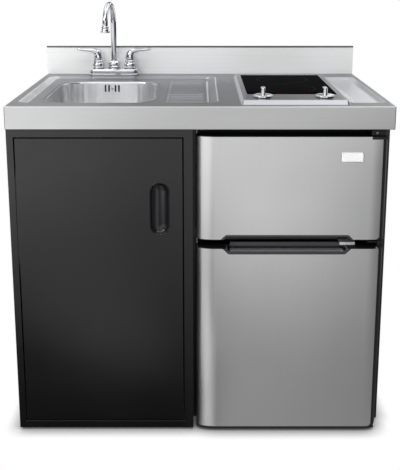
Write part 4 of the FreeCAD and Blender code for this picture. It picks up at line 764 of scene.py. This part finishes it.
# Ring mouldings, as shares of the widest radius and of the height.
BONNET_RADIUS = 0.0195
BONNET_SHARES = [(0.93, 0.0), (1.0, 0.05), (1.0, 0.14), (0.9, 0.2), (0.88, 0.24), (0.97, 0.32), (1.0, 0.42),
                 (0.98, 0.52), (0.9, 0.62), (0.8, 0.68), (0.78, 0.72), (0.86, 0.78), (0.88, 0.86),
                 (0.82, 0.93), (0.7, 1.0)]
COLLAR_RADIUS = 0.019
COLLAR_SHARES = [(0.95, 0.0), (1.0, 0.06), (1.0, 0.2), (0.9, 0.27), (0.87, 0.32), (0.98, 0.42), (1.0, 0.52),
                 (0.95, 0.64), (0.82, 0.76), (0.68, 0.84), (0.6, 0.9), (0.58, 1.0)]
bonnets = [moulded(BONNET_RADIUS, BASE_HIGH.z, BONNET_TOP, BONNET_SHARES, (x, TAP_Y))
           for x in (TAP_X - TAP_SPREAD / 2, TAP_X + TAP_SPREAD / 2)]
stand_in("valve_bonnets", merged(*bonnets))
stand_in("spout_collar", moulded(COLLAR_RADIUS, BASE_HIGH.z, COLLAR_TOP, COLLAR_SHARES, (TAP_X, TAP_Y)))

LEVER_GAP = 0.0003
# Centre line of a lever: (reach outwards, height above the bonnet, half width, half thickness).
LEVER_LINE = [(0, 0, 0.0138, 0.0138), (0, 0.002, 0.0150, 0.0150), (0, 0.007, 0.0148, 0.0148),
              (0.0005, 0.013, 0.0136, 0.0136), (0.002, 0.019, 0.0126, 0.0124),
              (0.006, 0.0245, 0.0118, 0.0108), (0.013, 0.0280, 0.0104, 0.0084),
              (0.022, 0.0294, 0.0088, 0.0064), (0.033, 0.0302, 0.0078, 0.0052),
              (0.045, 0.0312, 0.0074, 0.0046), (0.056, 0.0324, 0.0074, 0.0043),
              (0.0635, 0.0334, 0.0068, 0.0038), (0.0665, 0.0338, 0.0045, 0.0024),
              (0.0675, 0.0339, 0.0015, 0.0008)]


def lever_shape(outward):
    x = TAP_X + outward * TAP_SPREAD / 2
    path = [(x + outward * reach, TAP_Y, BONNET_TOP + LEVER_GAP + rise) for reach, rise, _, _ in LEVER_LINE]
    return sweep(path, [(wide, thick) for _, _, wide, thick in LEVER_LINE], (0, 1, 0), 28)


stand_in("hot_lever", lever_shape(-1), TUBE_LIMIT)
stand_in("cold_lever", lever_shape(1), TUBE_LIMIT)

SPOUT_RADIUS = 0.009
SPOUT_TIP = 0.0082
SPOUT_BEND = 0.06
SPOUT_LAP = 0.001
SPOUT_TURN = math.radians(6)
SPOUT_STEPS, SPOUT_BEND_STEPS = 12, 28
SPOUT_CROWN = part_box("spout")[1].z
SPOUT_FOOT = BASE_HIGH.z
AERATOR_LOW, AERATOR_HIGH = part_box("aerator")
AERATOR_RADIUS = 0.0142
AERATOR_SHARES = [(0.62, 0.12), (0.8, 0.1), (0.84, 0.0), (0.96, 0.0), (1.0, 0.04), (1.0, 0.2), (0.94, 0.26),
                  (0.9, 0.42), (0.8, 0.58), (0.74, 0.64), (0.8, 0.7), (0.82, 0.82), (0.78, 0.9), (0.68, 1.0)]


def spout_path():
    """Up from the base, round the bend and down to the aerator, turned a little to the side."""
    centre_z = SPOUT_CROWN - SPOUT_RADIUS - SPOUT_BEND
    line = [(0, SPOUT_FOOT + (centre_z - SPOUT_FOOT) * i / SPOUT_STEPS) for i in range(SPOUT_STEPS)]
    line += [(SPOUT_BEND - u, centre_z + v) for u, v in arc(SPOUT_BEND, 0, 2 * QUARTER, SPOUT_BEND_STEPS)]
    line.append((2 * SPOUT_BEND, AERATOR_HIGH.z - SPOUT_LAP))
    front = Vector((-math.sin(SPOUT_TURN), -math.cos(SPOUT_TURN), 0))
    return [Vector((TAP_X, TAP_Y, 0)) + front * out + Vector((0, 0, height)) for out, height in line]


def spout_shape():
    path = spout_path()
    radii = [SPOUT_RADIUS + (SPOUT_TIP - SPOUT_RADIUS) * i / (len(path) - 1) for i in range(len(path))]
    return sweep(path, [(radius, radius) for radius in radii], (1, 0, 0), 32)


stand_in("spout", spout_shape(), TUBE_LIMIT)
stand_in("aerator", moulded(AERATOR_RADIUS, AERATOR_LOW.z, AERATOR_HIGH.z, AERATOR_SHARES,
                            middle(AERATOR_LOW, AERATOR_HIGH)))
dress_all(("faucet_shanks", "faucet_locknuts", "overflow_housing"))

# hob

HOB_FRONT_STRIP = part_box("hob_panel")[0].y
HOB_EDGE, GLASS_EDGE, PANEL_EDGE = 0.0012, 0.0008, 0.0005


def behind_strip(face):
    return face.center.y > HOB_FRONT_STRIP and face.normal.z > FACES_UP


hob_frame = dress("hob_frame", HOB_EDGE, 3)
# Darker steel on the frame's upward faces behind the strip: painted shade.
paint(hob_frame, HOB_SIDE_PAINTED_SHADE, behind_strip)
dress("hob_glass", GLASS_EDGE)
dress("hob_panel", PANEL_EDGE)

HOB_TOP = HOB_HIGH.z
ZONE_RADIUS = 0.079
ZONE_INSET = 0.004
ZONE_LINE = 0.0016
ZONE_PROUD = 0.0001
ZONE_LOW, ZONE_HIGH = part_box("heating_elements")


def zone_ring(y):
    """Thin printed ring round one cooking zone."""
    centre = (middle(ZONE_LOW, ZONE_HIGH)[0], y)
    outer = ZONE_RADIUS - ZONE_INSET
    inner = outer - ZONE_LINE
    low, high = HOB_TOP - ZONE_PROUD, HOB_TOP + ZONE_PROUD
    rings = [circle(r, z, centre) for r, z in ((inner, low), (outer, low), (outer, high), (inner, high))]
    return loft(rings + rings[:1], start=False, end=False)


zones = [zone_ring(y) for y in (ZONE_LOW.y + ZONE_RADIUS, ZONE_HIGH.y - ZONE_RADIUS)]
trim("zone_rings", merged(*zones), "unit", "black_glass", ZONE_GREY)

KNOB_GAP = 0.0003
KNOB_BAR = 0.0115
KNOB_BAR_SOFT = 0.003
KNOB_BAR_SHARE = 0.5
# Foot of the knob's bar: (growth of the outline, height above the knob's foot).
KNOB_BAR_FOOT = [(0.0016, 0.0012), (0.0016, 0.004), (0.0004, 0.008)]
# Knob skirt, as shares of the skirt's radius and of the knob's height.
SKIRT_SHARES = [(0.94, 0.0), (1.0, 0.04), (1.0, 0.13), (0.98, 0.18), (0.92, 0.22), (0.8, 0.26), (0.6, 0.29),
                (0.4, 0.3), (0.2, 0.3)]


def knob_shape(node):
    """Convex round skirt with a soft-edged bar across it."""
    low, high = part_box(node)
    radius = (high.x - low.x) / 2
    x, y = middle(low, high)
    foot = HOB_TOP + KNOB_GAP
    skirt = moulded(radius, foot, high.z, SKIRT_SHARES, (x, y))
    layers = [(out, foot + rise) for out, rise in KNOB_BAR_FOOT] + round_top(KNOB_BAR_SOFT, high.z, 4)
    half_x, half_y = KNOB_BAR / 2, radius * KNOB_BAR_SHARE
    bar = rounded_stack((x - half_x, x + half_x), (y - half_y, y + half_y), KNOB_BAR / 2, layers)
    return merged(skirt, loft(bar))


for node in ("left_knob", "right_knob"):
    stand_in(node, knob_shape(node))

LAMP_RADIUS = 0.003
LAMP_LOW, LAMP_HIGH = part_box("indicator_lamps")
LAMP_SHARES = [(0.9, 0.0), (1.3, 0.86), (1.3, 0.9), (1.1, 0.93), (0.98, 0.94), (0.9, 0.97), (0.5, 1.0)]
lamps = [moulded(LAMP_RADIUS, LAMP_LOW.z, LAMP_HIGH.z, LAMP_SHARES, (x, middle(LAMP_LOW, LAMP_HIGH)[1]))
         for x in (LAMP_LOW.x + LAMP_RADIUS, LAMP_HIGH.x - LAMP_RADIUS)]
stand_in("indicator_lamps", merged(*lamps))

# cabinet

SHEET_EDGE = 0.0007
dress_all(("cabinet_face_frame", "cabinet_left_side", "cabinet_partition", "cabinet_floor", "right_end_panel",
           "cabinet_door", "rear_rail", "magnetic_catch"), SHEET_EDGE)

PULL_LOW, PULL_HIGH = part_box("door_pull")
PULL_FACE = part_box("cabinet_door")[0].y
PULL_BACK_GAP = 0.0005
PULL_DEPTH = PULL_HIGH.y - PULL_FACE - PULL_BACK_GAP
PULL_SHEET = 0.001
# Lip of the finger cup: (growth of the outline, height above the door's face). The cup's round follows it.
PULL_LIP = [(0, 0), (-0.0004, 0.00084), (-0.0014, 0.0012), (-0.0025, 0.00072), (-0.0037, -0.001)]
CUP_INSET, CUP_START, CUP_FLAT = 0.0045, 0.002, 0.0065
CUP_TURNS = [0.15 + 0.2 * i for i in range(7)] + [QUARTER]


def pull_shape():
    """Oval finger cup with its mouth to the front."""
    width, height = PULL_HIGH.x - PULL_LOW.x, PULL_HIGH.z - PULL_LOW.z
    hollow = width / 2 - CUP_FLAT
    fall = PULL_DEPTH - CUP_START
    deep = [(-CUP_INSET - hollow * (1 - math.cos(turn)), -CUP_START - fall * math.sin(turn))
            for turn in CUP_TURNS]
    place = (middle(PULL_LOW, PULL_HIGH)[0], PULL_FACE, (PULL_LOW.z + PULL_HIGH.z) / 2)
    return front_form(width, height, width / 2, PULL_LIP + deep, place, 12, start=False)


pull = stand_in("door_pull", pull_shape(), PULL_LIMIT, PULL_SHEET)
pull.data.materials[0] = FINISHES["black_gloss"]

# fridge doors

DOOR_LOW, DOOR_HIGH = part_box("freezer_door_panel")
SOFT_CUTS = 10
# Soft upright edges of a door: (sign of the edge's side, reach along the face, depth at the edge).
SOFT_EDGES = [(-1, 0.050, 0.012), (1, 0.040, 0.004)]
# Painted highlight along the left edge of the fridge door, towards its foot: paler, less metallic steel.
DOOR_PAINTED_HIGHLIGHT = [("X", DOOR_LOW.x + 0.006, DOOR_LOW.x + 0.028, 0.0, 1.0),
              ("X", DOOR_LOW.x + 0.030, DOOR_LOW.x + 0.058, 1.0, 0.0), ("Z", 0.14, 0.5, 1.0, 0.0)]
DOOR_PAINTED_HIGHLIGHT_METAL = 0.6
UPPER_EDGE = DOOR_LOW.z
LOWER_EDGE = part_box("fridge_door_panel")[1].z
GRIP_LOW, GRIP_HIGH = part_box("freezer_door_grip")
GRIP_MIDDLE = middle(GRIP_LOW, GRIP_HIGH)[0]
GRIP_RISE = 0.015
GRIP_WALL = 0.002
POCKET_RISE = 0.0075
EDGE_DROP = 0.0065
GRIP_PROUD = 0.0016
GRIP_EMBED = 0.004
LIP_BEND = 0.004
LIP_STEPS = 6
FREEZER_LIP, FRIDGE_LIP = 0.0055, 0.0065
# Lip across its width: (share from the pocket outwards, depth behind its front as a share of its stand).
LIP_SHARES = [(0, 0.25), (0.08, 0), (0.75, 0), (1, 0.8)]
SEAL_EDGE = 0.0006


def soften(piece):
    """Draws a door's upright front edges back in long soft curves; its back stays flat."""
    form = bmesh.new()
    form.from_mesh(piece.data)
    for side, reach, depth in SOFT_EDGES:
        edge = DOOR_LOW.x if side < 0 else DOOR_HIGH.x
        for cut in range(1, SOFT_CUTS + 1):
            bmesh.ops.bisect_plane(form, geom=form.verts[:] + form.edges[:] + form.faces[:], dist=WELD,
                                   plane_co=(edge - side * reach * cut / SOFT_CUTS, 0, 0), plane_no=(1, 0, 0))
        for vert in form.verts:
            share = max(1 - abs(edge - vert.co.x) / reach, 0)
            forward = (DOOR_HIGH.y - vert.co.y) / (DOOR_HIGH.y - DOOR_LOW.y)
            vert.co.y += depth * share ** 2 * forward
    form.to_mesh(piece.data)
    form.free()
    welded(piece.data)


def lower_pocket(piece):
    """Makes the freezer door's grip pocket shallower, with its slanted ends kept."""
    for vert in piece.data.vertices:
        rise = vert.co.z - UPPER_EDGE
        if WELD < rise < GRIP_RISE + WELD and GRIP_LOW.x - WELD < vert.co.x < GRIP_HIGH.x + WELD:
            moved = rise * (1 - POCKET_RISE / GRIP_RISE)
            vert.co.z -= moved
            vert.co.x += math.copysign(moved, vert.co.x - GRIP_MIDDLE)


def drop_edge(piece):
    """Draws the fridge door's top edge down, with the slanted ends of its grip pocket kept."""
    for vert in piece.data.vertices:
        if vert.co.z > LOWER_EDGE - WELD:
            vert.co.z -= EDGE_DROP
            ends = min(vert.co.x - GRIP_LOW.x, GRIP_HIGH.x - vert.co.x)
            if -WELD < ends < 2 * GRIP_WALL:
                vert.co.x += math.copysign(EDGE_DROP, GRIP_MIDDLE - vert.co.x)


def door_sheet(node, reshape):
    """Skin or panel of a door, reshaped at its grip and softened at its upright edges."""
    piece = dress(node)
    reshape(piece)
    soften(piece)
    return piece


for node in ("freezer_door_skin", "freezer_door_panel"):
    door_sheet(node, lower_pocket)
fridge_skin = door_sheet("fridge_door_skin", drop_edge)
# Painted highlight along the fridge door skin's left edge.
fridge_skin.data.materials[0] = painted_light_patch(FINISHES["door_steel"], DOOR_PAINTED_HIGHLIGHT_METAL, DOOR_PAINTED_HIGHLIGHT)
door_sheet("fridge_door_panel", drop_edge)
lower_pocket(dress("freezer_door_grip"))
scoop = dress("fridge_door_grip")
drop_edge(scoop)
# Paler grey on the grip's upward faces: painted light.
paint(scoop, SCOOP_PAINTED_LIGHT, faces_up)
dress_all(("freezer_door_gasket", "fridge_door_gasket"), SEAL_EDGE)


def lip_outline(start, rise, reach):
    """Half of a grip lip's outline, from the door's edge up the slant and round the bend, as (x, rise)."""
    centre_x, centre_rise = GRIP_LOW.x + rise + LIP_BEND * math.tan(math.pi / 8), rise - LIP_BEND
    foot = (GRIP_LOW.x + start - reach * math.sqrt(2), start)
    bend = arc(LIP_BEND + reach, 1.5 * QUARTER, QUARTER, LIP_STEPS)
    return [foot] + [(centre_x + u, centre_rise + v) for u, v in bend]


def grip_lip(edge, inward, start, rise, width):
    """Raised lip round a grip pocket, from the door's edge up one slant, along and down the other."""
    back, front = GRIP_LOW.y + GRIP_EMBED, GRIP_LOW.y - GRIP_PROUD
    section = [(0, back), *[(share, front + depth * GRIP_PROUD) for share, depth in LIP_SHARES], (1, back)]
    lines = []
    for share, y in section:
        half = [(x, y, edge + inward * height) for x, height in lip_outline(start, rise, width * share)]
        lines.append(half + [(2 * GRIP_MIDDLE - x, y, z) for x, y, z in reversed(half)])
    rings = [list(ring) for ring in zip(*lines)]
    return loft([ring if inward < 0 else ring[::-1] for ring in rings])


upper_lip = grip_lip(UPPER_EDGE, 1, 0, POCKET_RISE, FREEZER_LIP)
lower_lip = grip_lip(LOWER_EDGE, -1, EDGE_DROP, GRIP_RISE, FRIDGE_LIP)
trim("freezer_grip_lip", upper_lip, "freezer_door", "black_gloss", LIP_BLACK)
trim("fridge_grip_lip", lower_lip, "fridge_door", "black_gloss", LIP_BLACK)

SHELL_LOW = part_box("fridge_shell")[0]
RAIL_DEPTH, RAIL_THICK, RAIL_ROOT, RAIL_SOFT = 0.024, 0.006, 0.0025, 0.001
RAIL_TOP, RAIL_FOOT, RAIL_SEAT = 0.0042, -0.0055, -0.0095
RAIL_END_GAP = 0.0013
BAR_SOFT, BAR_CORNER = 0.001, 0.002
MULLION_HEIGHT, MULLION_PROUD = 0.013, 0.004
MULLION_Z = (UPPER_EDGE + LOWER_EDGE) / 2
BRACKET_X = (GRIP_HIGH.x - 0.024, GRIP_HIGH.x + 0.017)
BRACKET_HEIGHT, BRACKET_SINK = 0.0086, 0.0002
MULLION_X = (SHELL_LOW.x + 0.004, BRACKET_X[0] - 0.001)


def finger_rail():
    """Rail along the back of the fridge door's grip, hooked over the pocket's rear wall."""
    front = GRIP_LOW.y + RAIL_DEPTH
    back = front + RAIL_THICK
    outline = [(back, RAIL_TOP), (front + RAIL_SOFT, RAIL_TOP), (front, RAIL_TOP - RAIL_SOFT),
               (front, RAIL_FOOT), (back - RAIL_ROOT, RAIL_FOOT), (back - RAIL_ROOT, RAIL_SEAT),
               (back, RAIL_SEAT)]
    ends = (GRIP_LOW.x + GRIP_RISE + GRIP_WALL, BRACKET_X[0] - RAIL_END_GAP)
    return loft([[(x, y, LOWER_EDGE + height) for y, height in outline] for x in ends])


def front_bar(x, z, height, proud):
    """Flat bar that stands on the shell's front face."""
    layers = bevelled(0, proud, BAR_SOFT)
    return front_form(x[1] - x[0], height, BAR_CORNER, layers, (sum(x) / 2, SHELL_LOW.y, z))


mullion = front_bar(MULLION_X, MULLION_Z, MULLION_HEIGHT, MULLION_PROUD)
bracket = front_bar(BRACKET_X, LOWER_EDGE - BRACKET_SINK, BRACKET_HEIGHT,
                    SHELL_LOW.y - GRIP_LOW.y - RAIL_DEPTH)
# The finger rail is paler than the black plastic: painted light.
trim("finger_rail", finger_rail(), "fridge_door", "black_gloss", RAIL_PAINTED_LIGHT)
trim("mullion_trim", mullion, "unit", "black_shell", TRIM_GREY)
# Pale zinc on the hinge bracket: painted highlight.
trim("hinge_bracket", bracket, "unit", "zinc_steel", BRACKET_ZINC_PAINTED_HIGHLIGHT)

BADGE_WIDTH, BADGE_HEIGHT, BADGE_CORNER = 0.058, 0.026, 0.003
BADGE_THICK, BADGE_RIM, BADGE_SOFT, BADGE_SINK = 0.0012, 0.0012, 0.0004, 0.0005
BADGE_SIDE_SHARE, BADGE_RIM_SHARE = 0.7, 0.8
BADGE_PLACE = (0.389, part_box("freezer_door_skin")[0].y, 0.773)


def badge_shape(margin, thick):
    """Thin plate on the freezer door's face, drawn in by a margin."""
    layers = [(-margin, -BADGE_SINK), (-margin, thick * BADGE_SIDE_SHARE), (-margin - BADGE_SOFT, thick)]
    return front_form(BADGE_WIDTH, BADGE_HEIGHT, BADGE_CORNER, layers, BADGE_PLACE)


trim("badge_rim", badge_shape(0, BADGE_THICK * BADGE_RIM_SHARE), "freezer_door", "chrome")
trim("blank_badge", badge_shape(BADGE_RIM, BADGE_THICK), "freezer_door", "door_steel", BADGE_WHITE)

COVER_X = (DOOR_HIGH.x - 0.042, DOOR_HIGH.x - 0.003)
COVER_Y = (DOOR_LOW.y + 0.012, DOOR_HIGH.y)
COVER_GAP, COVER_RISE, COVER_SOFT, COVER_CORNER = 0.0015, 0.0155, 0.002, 0.005
COVER_SCREW_LEFT = 0.005
HINGE_EDGE = 0.0006
CAP_DROP, CAP_PROUD, CAP_SINK, CAP_SOFT, CAP_CORNER = 0.007, 0.0008, 0.004, 0.0004, 0.001


def hinge_cover():
    """Moulded cover over the top hinge, in the gap between the door and the worktop."""
    foot = DOOR_HIGH.z + COVER_GAP
    layers = bevelled(foot, foot + COVER_RISE, COVER_SOFT)
    return loft(rounded_stack(COVER_X, COVER_Y, COVER_CORNER, layers, steps=5))


def corner_cap():
    """Black cap over the freezer door's top corner at the hinge."""
    layers = bevelled(-CAP_SINK, CAP_PROUD, CAP_SOFT)
    width = DOOR_HIGH.x - COVER_X[0]
    place = (DOOR_HIGH.x - width / 2, DOOR_LOW.y, DOOR_HIGH.z - CAP_DROP / 2)
    return front_form(width, CAP_DROP, CAP_CORNER, layers, place, 3)


trim("hinge_cover", hinge_cover(), "unit", "black_plastic")
cover_screw = (sum(COVER_X) / 2 - COVER_SCREW_LEFT, COVER_Y[0], DOOR_HIGH.z + COVER_RISE / 2)
add_screw("hinge_cover_screw", cover_screw, "zinc_steel")
soften(trim("hinge_corner_cap", corner_cap(), "freezer_door", "black_plastic"))
dress("door_hinges", HINGE_EDGE)

# fridge inside

LINER_RADIUS, DOOR_LINER_RADIUS, HOUSING_RADIUS = 0.009, 0.004, 0.002


def inner_corner(edge):
    return not edge.is_convex


dress("compartment_liners", LINER_RADIUS, 4, inner_corner)
dress_all(("freezer_door_liner", "fridge_door_liner"), DOOR_LINER_RADIUS, 3)
dress_all(("door_bins", "crisper_drawer", "fridge_shelves"), SHEET_EDGE)
dress("thermostat_housing", HOUSING_RADIUS, 3)
dress("fridge_shell")

SHELVES_LOW, SHELVES_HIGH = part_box("fridge_shelves")
SHELF_THICK = 0.004
NOSE_DEPTH, NOSE_HEIGHT = 0.0052, 0.004


def shelf_trim(z):
    """Plastic nosing along a shelf's front edge; its left end doubles back inside the fridge's wall."""
    path = [(x, SHELVES_LOW.y, z) for x in (SHELVES_LOW.x, 0, SHELVES_HIGH.x)]
    return sweep(path, [(NOSE_DEPTH, NOSE_HEIGHT)] * len(path), (0, 1, 0), 16)


nosings = [shelf_trim(z) for z in (SHELVES_LOW.z + SHELF_THICK / 2, SHELVES_HIGH.z - SHELF_THICK / 2)]
trim("shelf_trims", merged(*nosings), "unit", "white_plastic")

# compressor bay

COMP_LOW, COMP_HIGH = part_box("compressor")
COMP_X, COMP_Y = middle(COMP_LOW, COMP_HIGH)
COMP_RADIUS = (COMP_HIGH.x - COMP_LOW.x) / 2
CAN_SHARES = [(0.6, 0.0), (0.8, 0.03), (0.93, 0.1), (0.99, 0.2), (0.99, 0.45), (1.0, 0.46), (1.0, 0.54),
              (0.97, 0.55), (0.96, 0.72), (0.88, 0.85), (0.7, 0.94), (0.4, 0.99), (0.1, 1.0)]
stand_in("compressor", moulded(COMP_RADIUS, COMP_LOW.z, COMP_HIGH.z, CAN_SHARES, (COMP_X, COMP_Y)))

TUBE = 0.0032
TUBE_BEND = 0.045
TUBE_STUB, TUBE_REACH, TUBE_END = 0.01, 0.02, 0.012
TUBE_SEAT_SHARE = 0.96
# Tubes: (side of the can, height on it).
TUBES = [(1, 0.05), (-1, 0.07), (1, 0.085)]


def suction_tube(side, height):
    """Copper tube from the can, round a bend and up to the bay's roof."""
    start = Vector((COMP_X + side * COMP_RADIUS * TUBE_SEAT_SHARE, COMP_Y, COMP_LOW.z + height))
    bend = [start + Vector((side * (TUBE_REACH + u), 0, TUBE_BEND + v))
            for u, v in arc(TUBE_BEND, -QUARTER, 0, 10)]
    path = [start, start + Vector((side * TUBE_STUB, 0, 0)), *bend, bend[-1] + Vector((0, 0, TUBE_END))]
    return sweep(path, [(TUBE, TUBE)] * len(path), (0, 1, 0), 14)


trim("compressor_tubes", merged(*[suction_tube(*tube) for tube in TUBES]), "unit", "brass", COPPER)
dress_all(("levelling_feet", "heating_elements", "hob_pan", "hob_switches", "hob_clamps", "thermostat_knob",
           "cabinet_hinge_pins", "cabinet_back", "cabinet_door_inner"))

# floor, light and camera

FLOOR_SIZE = 40.0
FLOOR_GREY, FLOOR_ROUGH = 0.8, 0.9
SHADOW_REACH = 0.045
SHADOW_DEPTH = 1.5
SHADOW_SAMPLES = 8
WORLD_LIGHT = 0.42
PHOTO_WIDTH, PHOTO_HEIGHT = 400, 470
FOCAL_PIXELS = 808
SENSOR_HEIGHT = 36.0
CAMERA_PLACE = (0.0, -2.3125, 1.262)
CAMERA_PITCH = math.radians(11.9)
CAMERA_SHIFT = -0.22
# Lamps: (name, place, target, size, power, whether metal mirrors it).
LAMPS = [("key", (-1.1, -3.3, 1.15), (-0.3, -0.2, 0.6), (1.6, 1.6), 24, False),
         ("high", (-2.4, -2.4, 3.0), (-0.1, 0, 0.7), (1.6, 1.6), 40, True),
         ("top", (-0.4, -0.5, 3.0), (-0.25, 0, 0.9), (2.4, 1.6), 100, False),
         ("rear", (2.2, 3.0, 2.4), (0, 0.2, 0.6), (2.0, 2.0), 40, False)]
# Profile of the reflector round the object: (radius, height).
TENT_PROFILE = [(0.9, 0.003), (2.0, 0.003), (3.2, 0.003), (4.0, 0.15), (4.6, 0.6), (4.8, 1.2), (4.8, 3.0),
                (4.2, 4.4)]
# Parts of the reflector's brightness: place span, then the two levels.
TENT = {
    "far": (-0.8, 1.0, 1.1, 0.42), "far_reach": (-3.7, -3.1, 0.0, 1.0),
    "mid": (0.1, 1.3, 1.2, 0.08), "mid_left": (-0.1, 0.2, 0.2, 1.0),
    "glare": (-1.0, -0.2, 1.7, 0.0), "glare_reach": (-2.9, -1.7, 1.0, 0.0),
    "near": (-0.06, 0.09, 0.03, 0.30), "fade": (0.1, 0.9, 1.0, 0.55), "reach": (-2.6, -0.7, 0.0, 1.0),
    "patch_left": (-0.95, -0.75, 0.0, 0.7), "patch_right": (-0.3, -0.12, 1.0, 0.0),
    "patch_reach": (-0.95, -0.45, 1.0, 0.0), "edge": (2.2, 3.2, 1.0, 0.08),
    "wall": (0.3, 0.9, 0.68, 1.05), "side": (1.5, 2.5, 1.0, 0.08), "rise": (0.05, 0.4, 0.0, 1.0),
    "back_left": (-0.95, -0.45, 0.85, 0.4), "back_right": (0.9, 1.6, 0.4, 1.1),
    "depth": (-0.2, 1.2, 0.0, 1.0), "upright": (1.8, 2.6, 1.0, 0.05),
    "upright_dip": (0.2, 0.8, 0.6, 1.05), "upright_back": (-0.6, 0.4, 0.45, 0.05),
    "upright_low": (0.5, 0.65, 0.0, 1.0), "upright_high": (1.25, 1.4, 1.0, 0.0),
    "crown": (1.85, 2.0, 1.0, 1.6), "height": (2.2, 3.0, 1.0, 0.2), "top": (3.6, 4.3, 0.0, 1.7),
}
# Distance in front of the fridge doors, by which the patch narrows towards them.
DOOR_REACH = (-3.28, -0.28, 3.0, 0.01)


def seen_directly(tree):
    """1 for rays from the camera and in reflections or glass, 0 for light that falls on the object."""
    rays = tree.nodes.new("ShaderNodeLightPath").outputs
    mirrored = combined(tree, "MAXIMUM", rays["Is Camera Ray"], rays["Is Glossy Ray"])
    return combined(tree, "MAXIMUM", mirrored, rays["Is Transmission Ray"])


def floor_material():
    """White floor that keeps the object's contact shadow."""
    material, tree = node_material("white_floor")
    matt = tree.nodes["Principled BSDF"]
    matt.inputs["Base Color"].default_value = (FLOOR_GREY, FLOOR_GREY, FLOOR_GREY, 1)
    matt.inputs["Roughness"].default_value = FLOOR_ROUGH
    shadow = tree.nodes.new("ShaderNodeAmbientOcclusion")
    shadow.inputs["Distance"].default_value = SHADOW_REACH
    shadow.samples = SHADOW_SAMPLES
    deepen = tree.nodes.new("ShaderNodeGamma")
    deepen.inputs["Gamma"].default_value = SHADOW_DEPTH
    glow = tree.nodes.new("ShaderNodeEmission")
    mix = tree.nodes.new("ShaderNodeMixShader")
    tree.links.new(shadow.outputs["Color"], deepen.inputs["Color"])
    tree.links.new(deepen.outputs["Color"], glow.inputs["Color"])
    tree.links.new(seen_directly(tree), mix.inputs["Fac"])
    tree.links.new(matt.outputs["BSDF"], mix.inputs[1])
    tree.links.new(glow.outputs["Emission"], mix.inputs[2])
    tree.links.new(mix.outputs["Shader"], tree.nodes["Material Output"].inputs["Surface"])
    return material


def make_floor():
    half = FLOOR_SIZE / 2
    corners = [(-half, -half, 0), (half, -half, 0), (half, half, 0), (-half, half, 0)]
    mesh = bpy.data.meshes.new("floor")
    mesh.from_pydata(corners, [], [(0, 1, 2, 3)])
    floor = linked("floor", mesh)
    mesh.materials.append(floor_material())


def make_world():
    """White all round, at a plain level where it lights the object."""
    world = bpy.data.worlds.new("studio")
    SCENE.world = world
    world.use_nodes = True
    tree = world.node_tree
    background = tree.nodes["Background"]
    background.inputs["Color"].default_value = (1, 1, 1, 1)
    strength = spread(tree, seen_directly(tree), 0, 1, WORLD_LIGHT, 1, "LINEAR")
    tree.links.new(strength, background.inputs["Strength"])


def tent_material():
    """Studio walls: bright at the front left, dark at the front right, grey behind and low down."""
    material, tree = node_material("studio_tent")
    across, along, upward = axes_of(tree, tree.nodes.new("ShaderNodeTexCoord"))
    aside = combined(tree, "ABSOLUTE", across)
    slant = combined(tree, "DIVIDE", across, spread(tree, along, *DOOR_REACH, "LINEAR"))

    def part(source, name):
        return spread(tree, source, *TENT[name])

    glare = product(tree, part(across, "glare"), part(along, "glare_reach"))
    hump = product(tree, part(across, "mid_left"), part(across, "mid"))
    far = mixed(tree, part(along, "far_reach"), part(across, "far"), combined(tree, "ADD", hump, glare))
    patch = product(tree, part(slant, "patch_left"), part(slant, "patch_right"), part(along, "patch_reach"))
    near = combined(tree, "MAXIMUM", product(tree, part(across, "near"), part(across, "fade")), patch)
    ground = product(tree, mixed(tree, part(along, "reach"), far, near), part(aside, "edge"))
    wall = product(tree, part(aside, "wall"), part(aside, "side"))
    front = mixed(tree, part(upward, "rise"), ground, wall)
    back = combined(tree, "MAXIMUM", part(across, "back_left"), part(across, "back_right"))
    depth = part(along, "depth")
    facing = product(tree, part(across, "upright"), part(aside, "upright_dip"))
    upright = mixed(tree, depth, facing, part(across, "upright_back"))
    band = product(tree, part(upward, "upright_low"), part(upward, "upright_high"))
    brightness = mixed(tree, band, mixed(tree, depth, front, back), upright)
    crown = product(tree, part(upward, "crown"), part(upward, "height"))
    glow = tree.nodes.new("ShaderNodeEmission")
    tree.links.new(brightness, glow.inputs["Color"])
    tree.links.new(combined(tree, "MAXIMUM", crown, part(upward, "top")), glow.inputs["Strength"])
    tree.links.new(glow.outputs["Emission"], tree.nodes["Material Output"].inputs["Surface"])
    return material


def make_tent():
    """Low-walled reflector round the object, seen only in reflections, so that metal shows light and dark."""
    mesh = finished_mesh("studio_tent", lathe(TENT_PROFILE))
    tent = linked("studio_tent", mesh)
    mesh.materials.append(tent_material())
    tent.visible_camera = False
    tent.visible_diffuse = False
    tent.visible_shadow = False
    tent.visible_transmission = False


def add_lamp(name, place, target, size, power, mirrored):
    light = bpy.data.lights.new(name, "AREA")
    light.shape = "RECTANGLE"
    light.size, light.size_y = size
    light.energy = power
    lamp = linked(name, light)
    lamp.location = place
    lamp.rotation_euler = (Vector(target) - Vector(place)).to_track_quat("-Z", "Y").to_euler()
    lamp.visible_glossy = mirrored


def make_camera():
    camera = bpy.data.cameras.new("camera")
    camera.sensor_fit = "VERTICAL"
    camera.sensor_height = SENSOR_HEIGHT
    camera.sensor_width = SENSOR_HEIGHT * PHOTO_WIDTH / PHOTO_HEIGHT
    camera.lens = FOCAL_PIXELS * SENSOR_HEIGHT / PHOTO_HEIGHT
    camera.shift_y = CAMERA_SHIFT
    holder = linked("camera", camera)
    holder.location = CAMERA_PLACE
    holder.rotation_euler = (QUARTER - CAMERA_PITCH, 0, 0)
    SCENE.camera = holder


make_floor()
make_world()
for lamp in LAMPS:
    add_lamp(*lamp)
make_tent()
make_camera()
SCENE.view_settings.view_transform = "Standard"
